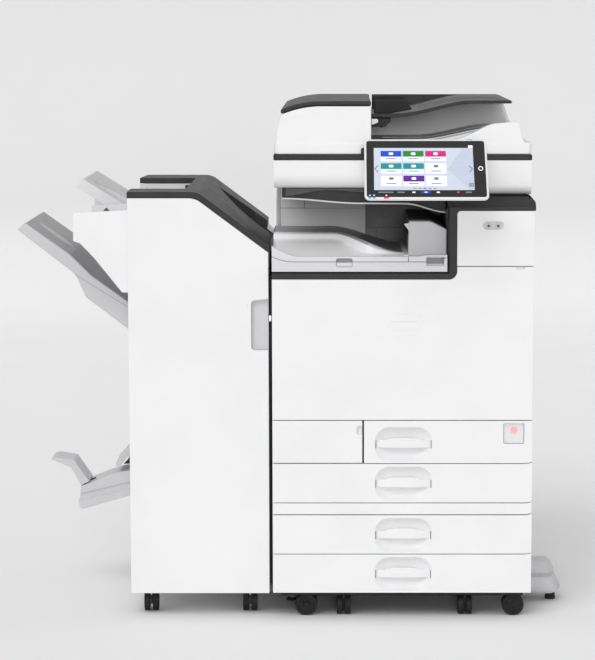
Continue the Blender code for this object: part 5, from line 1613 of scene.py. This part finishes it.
def caster(name, x, y, top, rolls_along):
    """A twin-wheel caster: (x, y) is under its axle, and its stem ends at the top."""
    across = {"X": "Y", "Y": "X"}[rolls_along]
    lead = Vector((0.012, 0, 0)) if rolls_along == "X" else Vector((0, -0.012, 0))
    centre = Vector((x, y, 0.0248))
    swivel, roller = f"{name}_swivel", f"{name}_roller"
    twin_wheels(name, centre, across, roller, [f"{name}_wheels"])
    web, foot = 0.0064, 0.036
    bore = rod(centre, 0.0043, 0.05, across, 24)
    below = block(centre - Vector((0.03, 0.03, 0.03)), centre + Vector((0.03, 0.03, -0.006)))
    boss = rod(centre, 0.0085, web, across, 28)
    hood = carved(rod(centre, 0.0205, web, across, 40), [bore, below], [boss])
    piece(f"{name}_hood", hood, DARK, swivel, [f"{name}_fork"], 0.0008)
    stem = centre + lead
    post = rod((stem.x, stem.y, (foot + top) / 2), 0.0031, top - foot, "Z", 24)
    if rolls_along == "Y":  # only the finisher's casters reach its floor with a flange
        post = carved(post, [], [rod((stem.x, stem.y, top - 0.001), 0.0085, 0.002, "Z", 32)])
    piece(f"{name}_stem", post, STEEL, swivel, bevel=0.0003, segments=2)


def casters():
    """Four casters under the paper bank and four under the finisher."""
    for row, y in (("front", 0.0488), ("rear", 0.54)):
        for side, x in (("left", 0.0755), ("right", 0.5477)):
            caster(f"caster_printer_{row}_{side}", x, y, 0.0497, "X")
    for row, y in (("front", 0.0856), ("rear", 0.56)):
        for side, x in (("left", -0.281), ("right", -0.054)):
            caster(f"caster_finisher_{row}_{side}", x, y, 0.0552, "Y")


def bank_base():
    """The base plate with turned-down flanges, its two support rollers and two levelling feet."""
    low, top = 0.05, BODY_BOTTOM - 0.0003
    plate = block((0.018, 0.02, low), (0.569, 0.59, top))
    hollow = block((0.022, 0.024, low - 0.01), (0.565, 0.586, top - 0.003))
    ribs = [block((0.021, y, low + 0.003), (0.566, y + 0.003, top - 0.001)) for y in (0.16, 0.3, 0.44)]
    mesh = carved(carved(plate, [hollow]), [], ribs)
    piece("bank_base_plate", mesh, BLACK, stands_for=["base_plate"], bevel=0.0008)
    for side, x in (("left", 0.161), ("right", 0.438)):
        name = f"support_roller_{side}"
        twin_wheels(name, Vector((x, 0.0525, 0.0248)), "X", "machine", gap=0.019)
        fork = rounded([
            (0.038, 0.0085, 0.008), (0.067, 0.0085, 0.008), (0.074, 0.0565, 0.004), (0.031, 0.0565, 0.004),
        ])
        piece(f"{name}_fork", prism(fork, "X", x - 0.0034, x + 0.0034), BLACK, bevel=0.001)
    for row, y in (("front", 0.184), ("rear", 0.44)):
        nut = rod((0.041, y, 0.01), 0.0085, 0.007, "Z", 6)
        stud = carved(rod((0.041, y, 0.03), 0.0045, 0.052, "Z", 24), [], [nut])
        piece(f"levelling_stud_{row}", stud, STEEL, bevel=0.0004, segments=2)
        piece(
            f"levelling_pad_{row}", rod((0.041, y, 0.0036), 0.015, 0.007, "Z", 40, 0.011), RUBBER,
            bevel=0.001,
        )


def tier(levels, corner, back, cut):
    """One tier of the stabiliser, through levels (z, right end, front); its back is cut off at a slant."""
    inner = WIDTH + 0.0005
    rings = []
    for z, right, front in levels:
        outline = rounded([
            (inner, front), (right - corner, front, corner), (right, cut), (right - 0.004, back),
            (inner, back),
        ], 8)
        rings.append(place(outline, "Z", z))
    return loft(rings)


def stabiliser():
    """Two rounded tiers beside the bank, on a black pad."""
    levels = (
        (0.0215, 0.66, 0.156), (0.026, 0.669, 0.151), (0.031, 0.6698, 0.15), (0.056, 0.6588, 0.152),
        (0.0608, 0.6554, 0.1545),
    )
    dimple = rod((0.619, 0.17, 0.0615), 0.0032, 0.004, "Z", 24)
    lower = carved(tier(levels, 0.012, 0.25, 0.2), [dimple])
    piece("stabiliser_lower", lower, TRAY, "machine", ["stabiliser_foot"], 0.0018, 4, 45)
    levels = (
        (0.059, 0.658, 0.193), (0.07, 0.6548, 0.1945), (0.085, 0.648, 0.1965), (0.0902, 0.6425, 0.1995),
    )
    upper = tier(levels, 0.01, 0.247, 0.225)
    piece("stabiliser_upper", upper, TRAY, bevel=0.0016, segments=4, at_angle=45)
    piece(
        "stabiliser_pad", rod((0.6465, 0.199, 0.0112), 0.0125, 0.0224, "Z", 40, 0.0105), RUBBER,
        bevel=0.0014,
    )


# ---------------------------------------------------------------- studio


def studio():
    """A pale floor that sweeps up into a backdrop, an even sky and two distant softboxes."""
    sweep, reach, wide, rise = 1.6, 5.0, 14.0, 9.0
    line = [(-12.0, 0.0), (reach, 0.0)]
    line += [
        (reach + sweep * math.sin(a * math.pi / 24), sweep * (1 - math.cos(a * math.pi / 24)))
        for a in range(1, 13)
    ]
    line += [(reach + sweep, rise)]
    shape = bmesh.new()
    rows = [[shape.verts.new((x, y, z)) for y, z in line] for x in (-wide, wide)]
    for index in range(len(line) - 1):
        shape.faces.new((rows[0][index], rows[1][index], rows[1][index + 1], rows[0][index + 1]))
    mesh = to_mesh(shape)
    mesh.shade_smooth()
    mesh.materials.append(backdrop_paper())
    floor = bpy.data.objects.new("studio_floor", mesh)
    bpy.context.scene.collection.objects.link(floor)
    world = bpy.data.worlds.new("studio_sky")
    world.use_nodes = True
    world.node_tree.nodes["Background"].inputs["Color"].default_value = (1.0, 1.0, 1.0, 1.0)
    world.node_tree.nodes["Background"].inputs["Strength"].default_value = 0.58
    bpy.context.scene.world = world
    bpy.context.scene.view_settings.view_transform = "Standard"
    soft_light("key_light", (-1.9, -3.9, 4.6), 1.1, 38)
    soft_light("fill_light", (0.3, -5.0, 0.6), 0.61, 14)


def soft_light(name, source, strength, spread):
    """A distant softbox: its light comes from the source towards the origin, spread over some degrees."""
    made = bpy.data.lights.new(name, "SUN")
    made.energy = strength
    made.angle = math.radians(spread)
    holder = bpy.data.objects.new(name, made)
    holder.rotation_euler = (-Vector(source)).to_track_quat("-Z", "Y").to_euler()
    bpy.context.scene.collection.objects.link(holder)


def camera():
    """The camera, from where the photo was taken."""
    made = bpy.data.cameras.new("photo_camera")
    made.sensor_width = 36.0
    made.lens = CAMERA_LENS
    made.shift_x = CAMERA_SHIFT
    made.clip_end = 100.0
    holder = bpy.data.objects.new("photo_camera", made)
    holder.location = Vector(CAMERA_PLACE) + ORIGIN
    holder.rotation_euler = (math.radians(90 - CAMERA_DIP), 0.0, 0.0)
    bpy.context.scene.collection.objects.link(holder)
    bpy.context.scene.camera = holder


def build():
    for make in (
        front_door, waste_toner_cover, upper_right_cover, dark_trim, casing, power_switch, drawers, inside,
        duplex_door, cavity_housing, bridge_body, bridge_cover, exit_block, scanner, feeder_base, feed_cover,
        original_table, operation_panel, finisher_casing, finisher_door, finisher_lid, output_trays,
        booklet_tray, booklet_exit, casters, bank_base, stabiliser, studio, camera,
    ):
        make()


build()
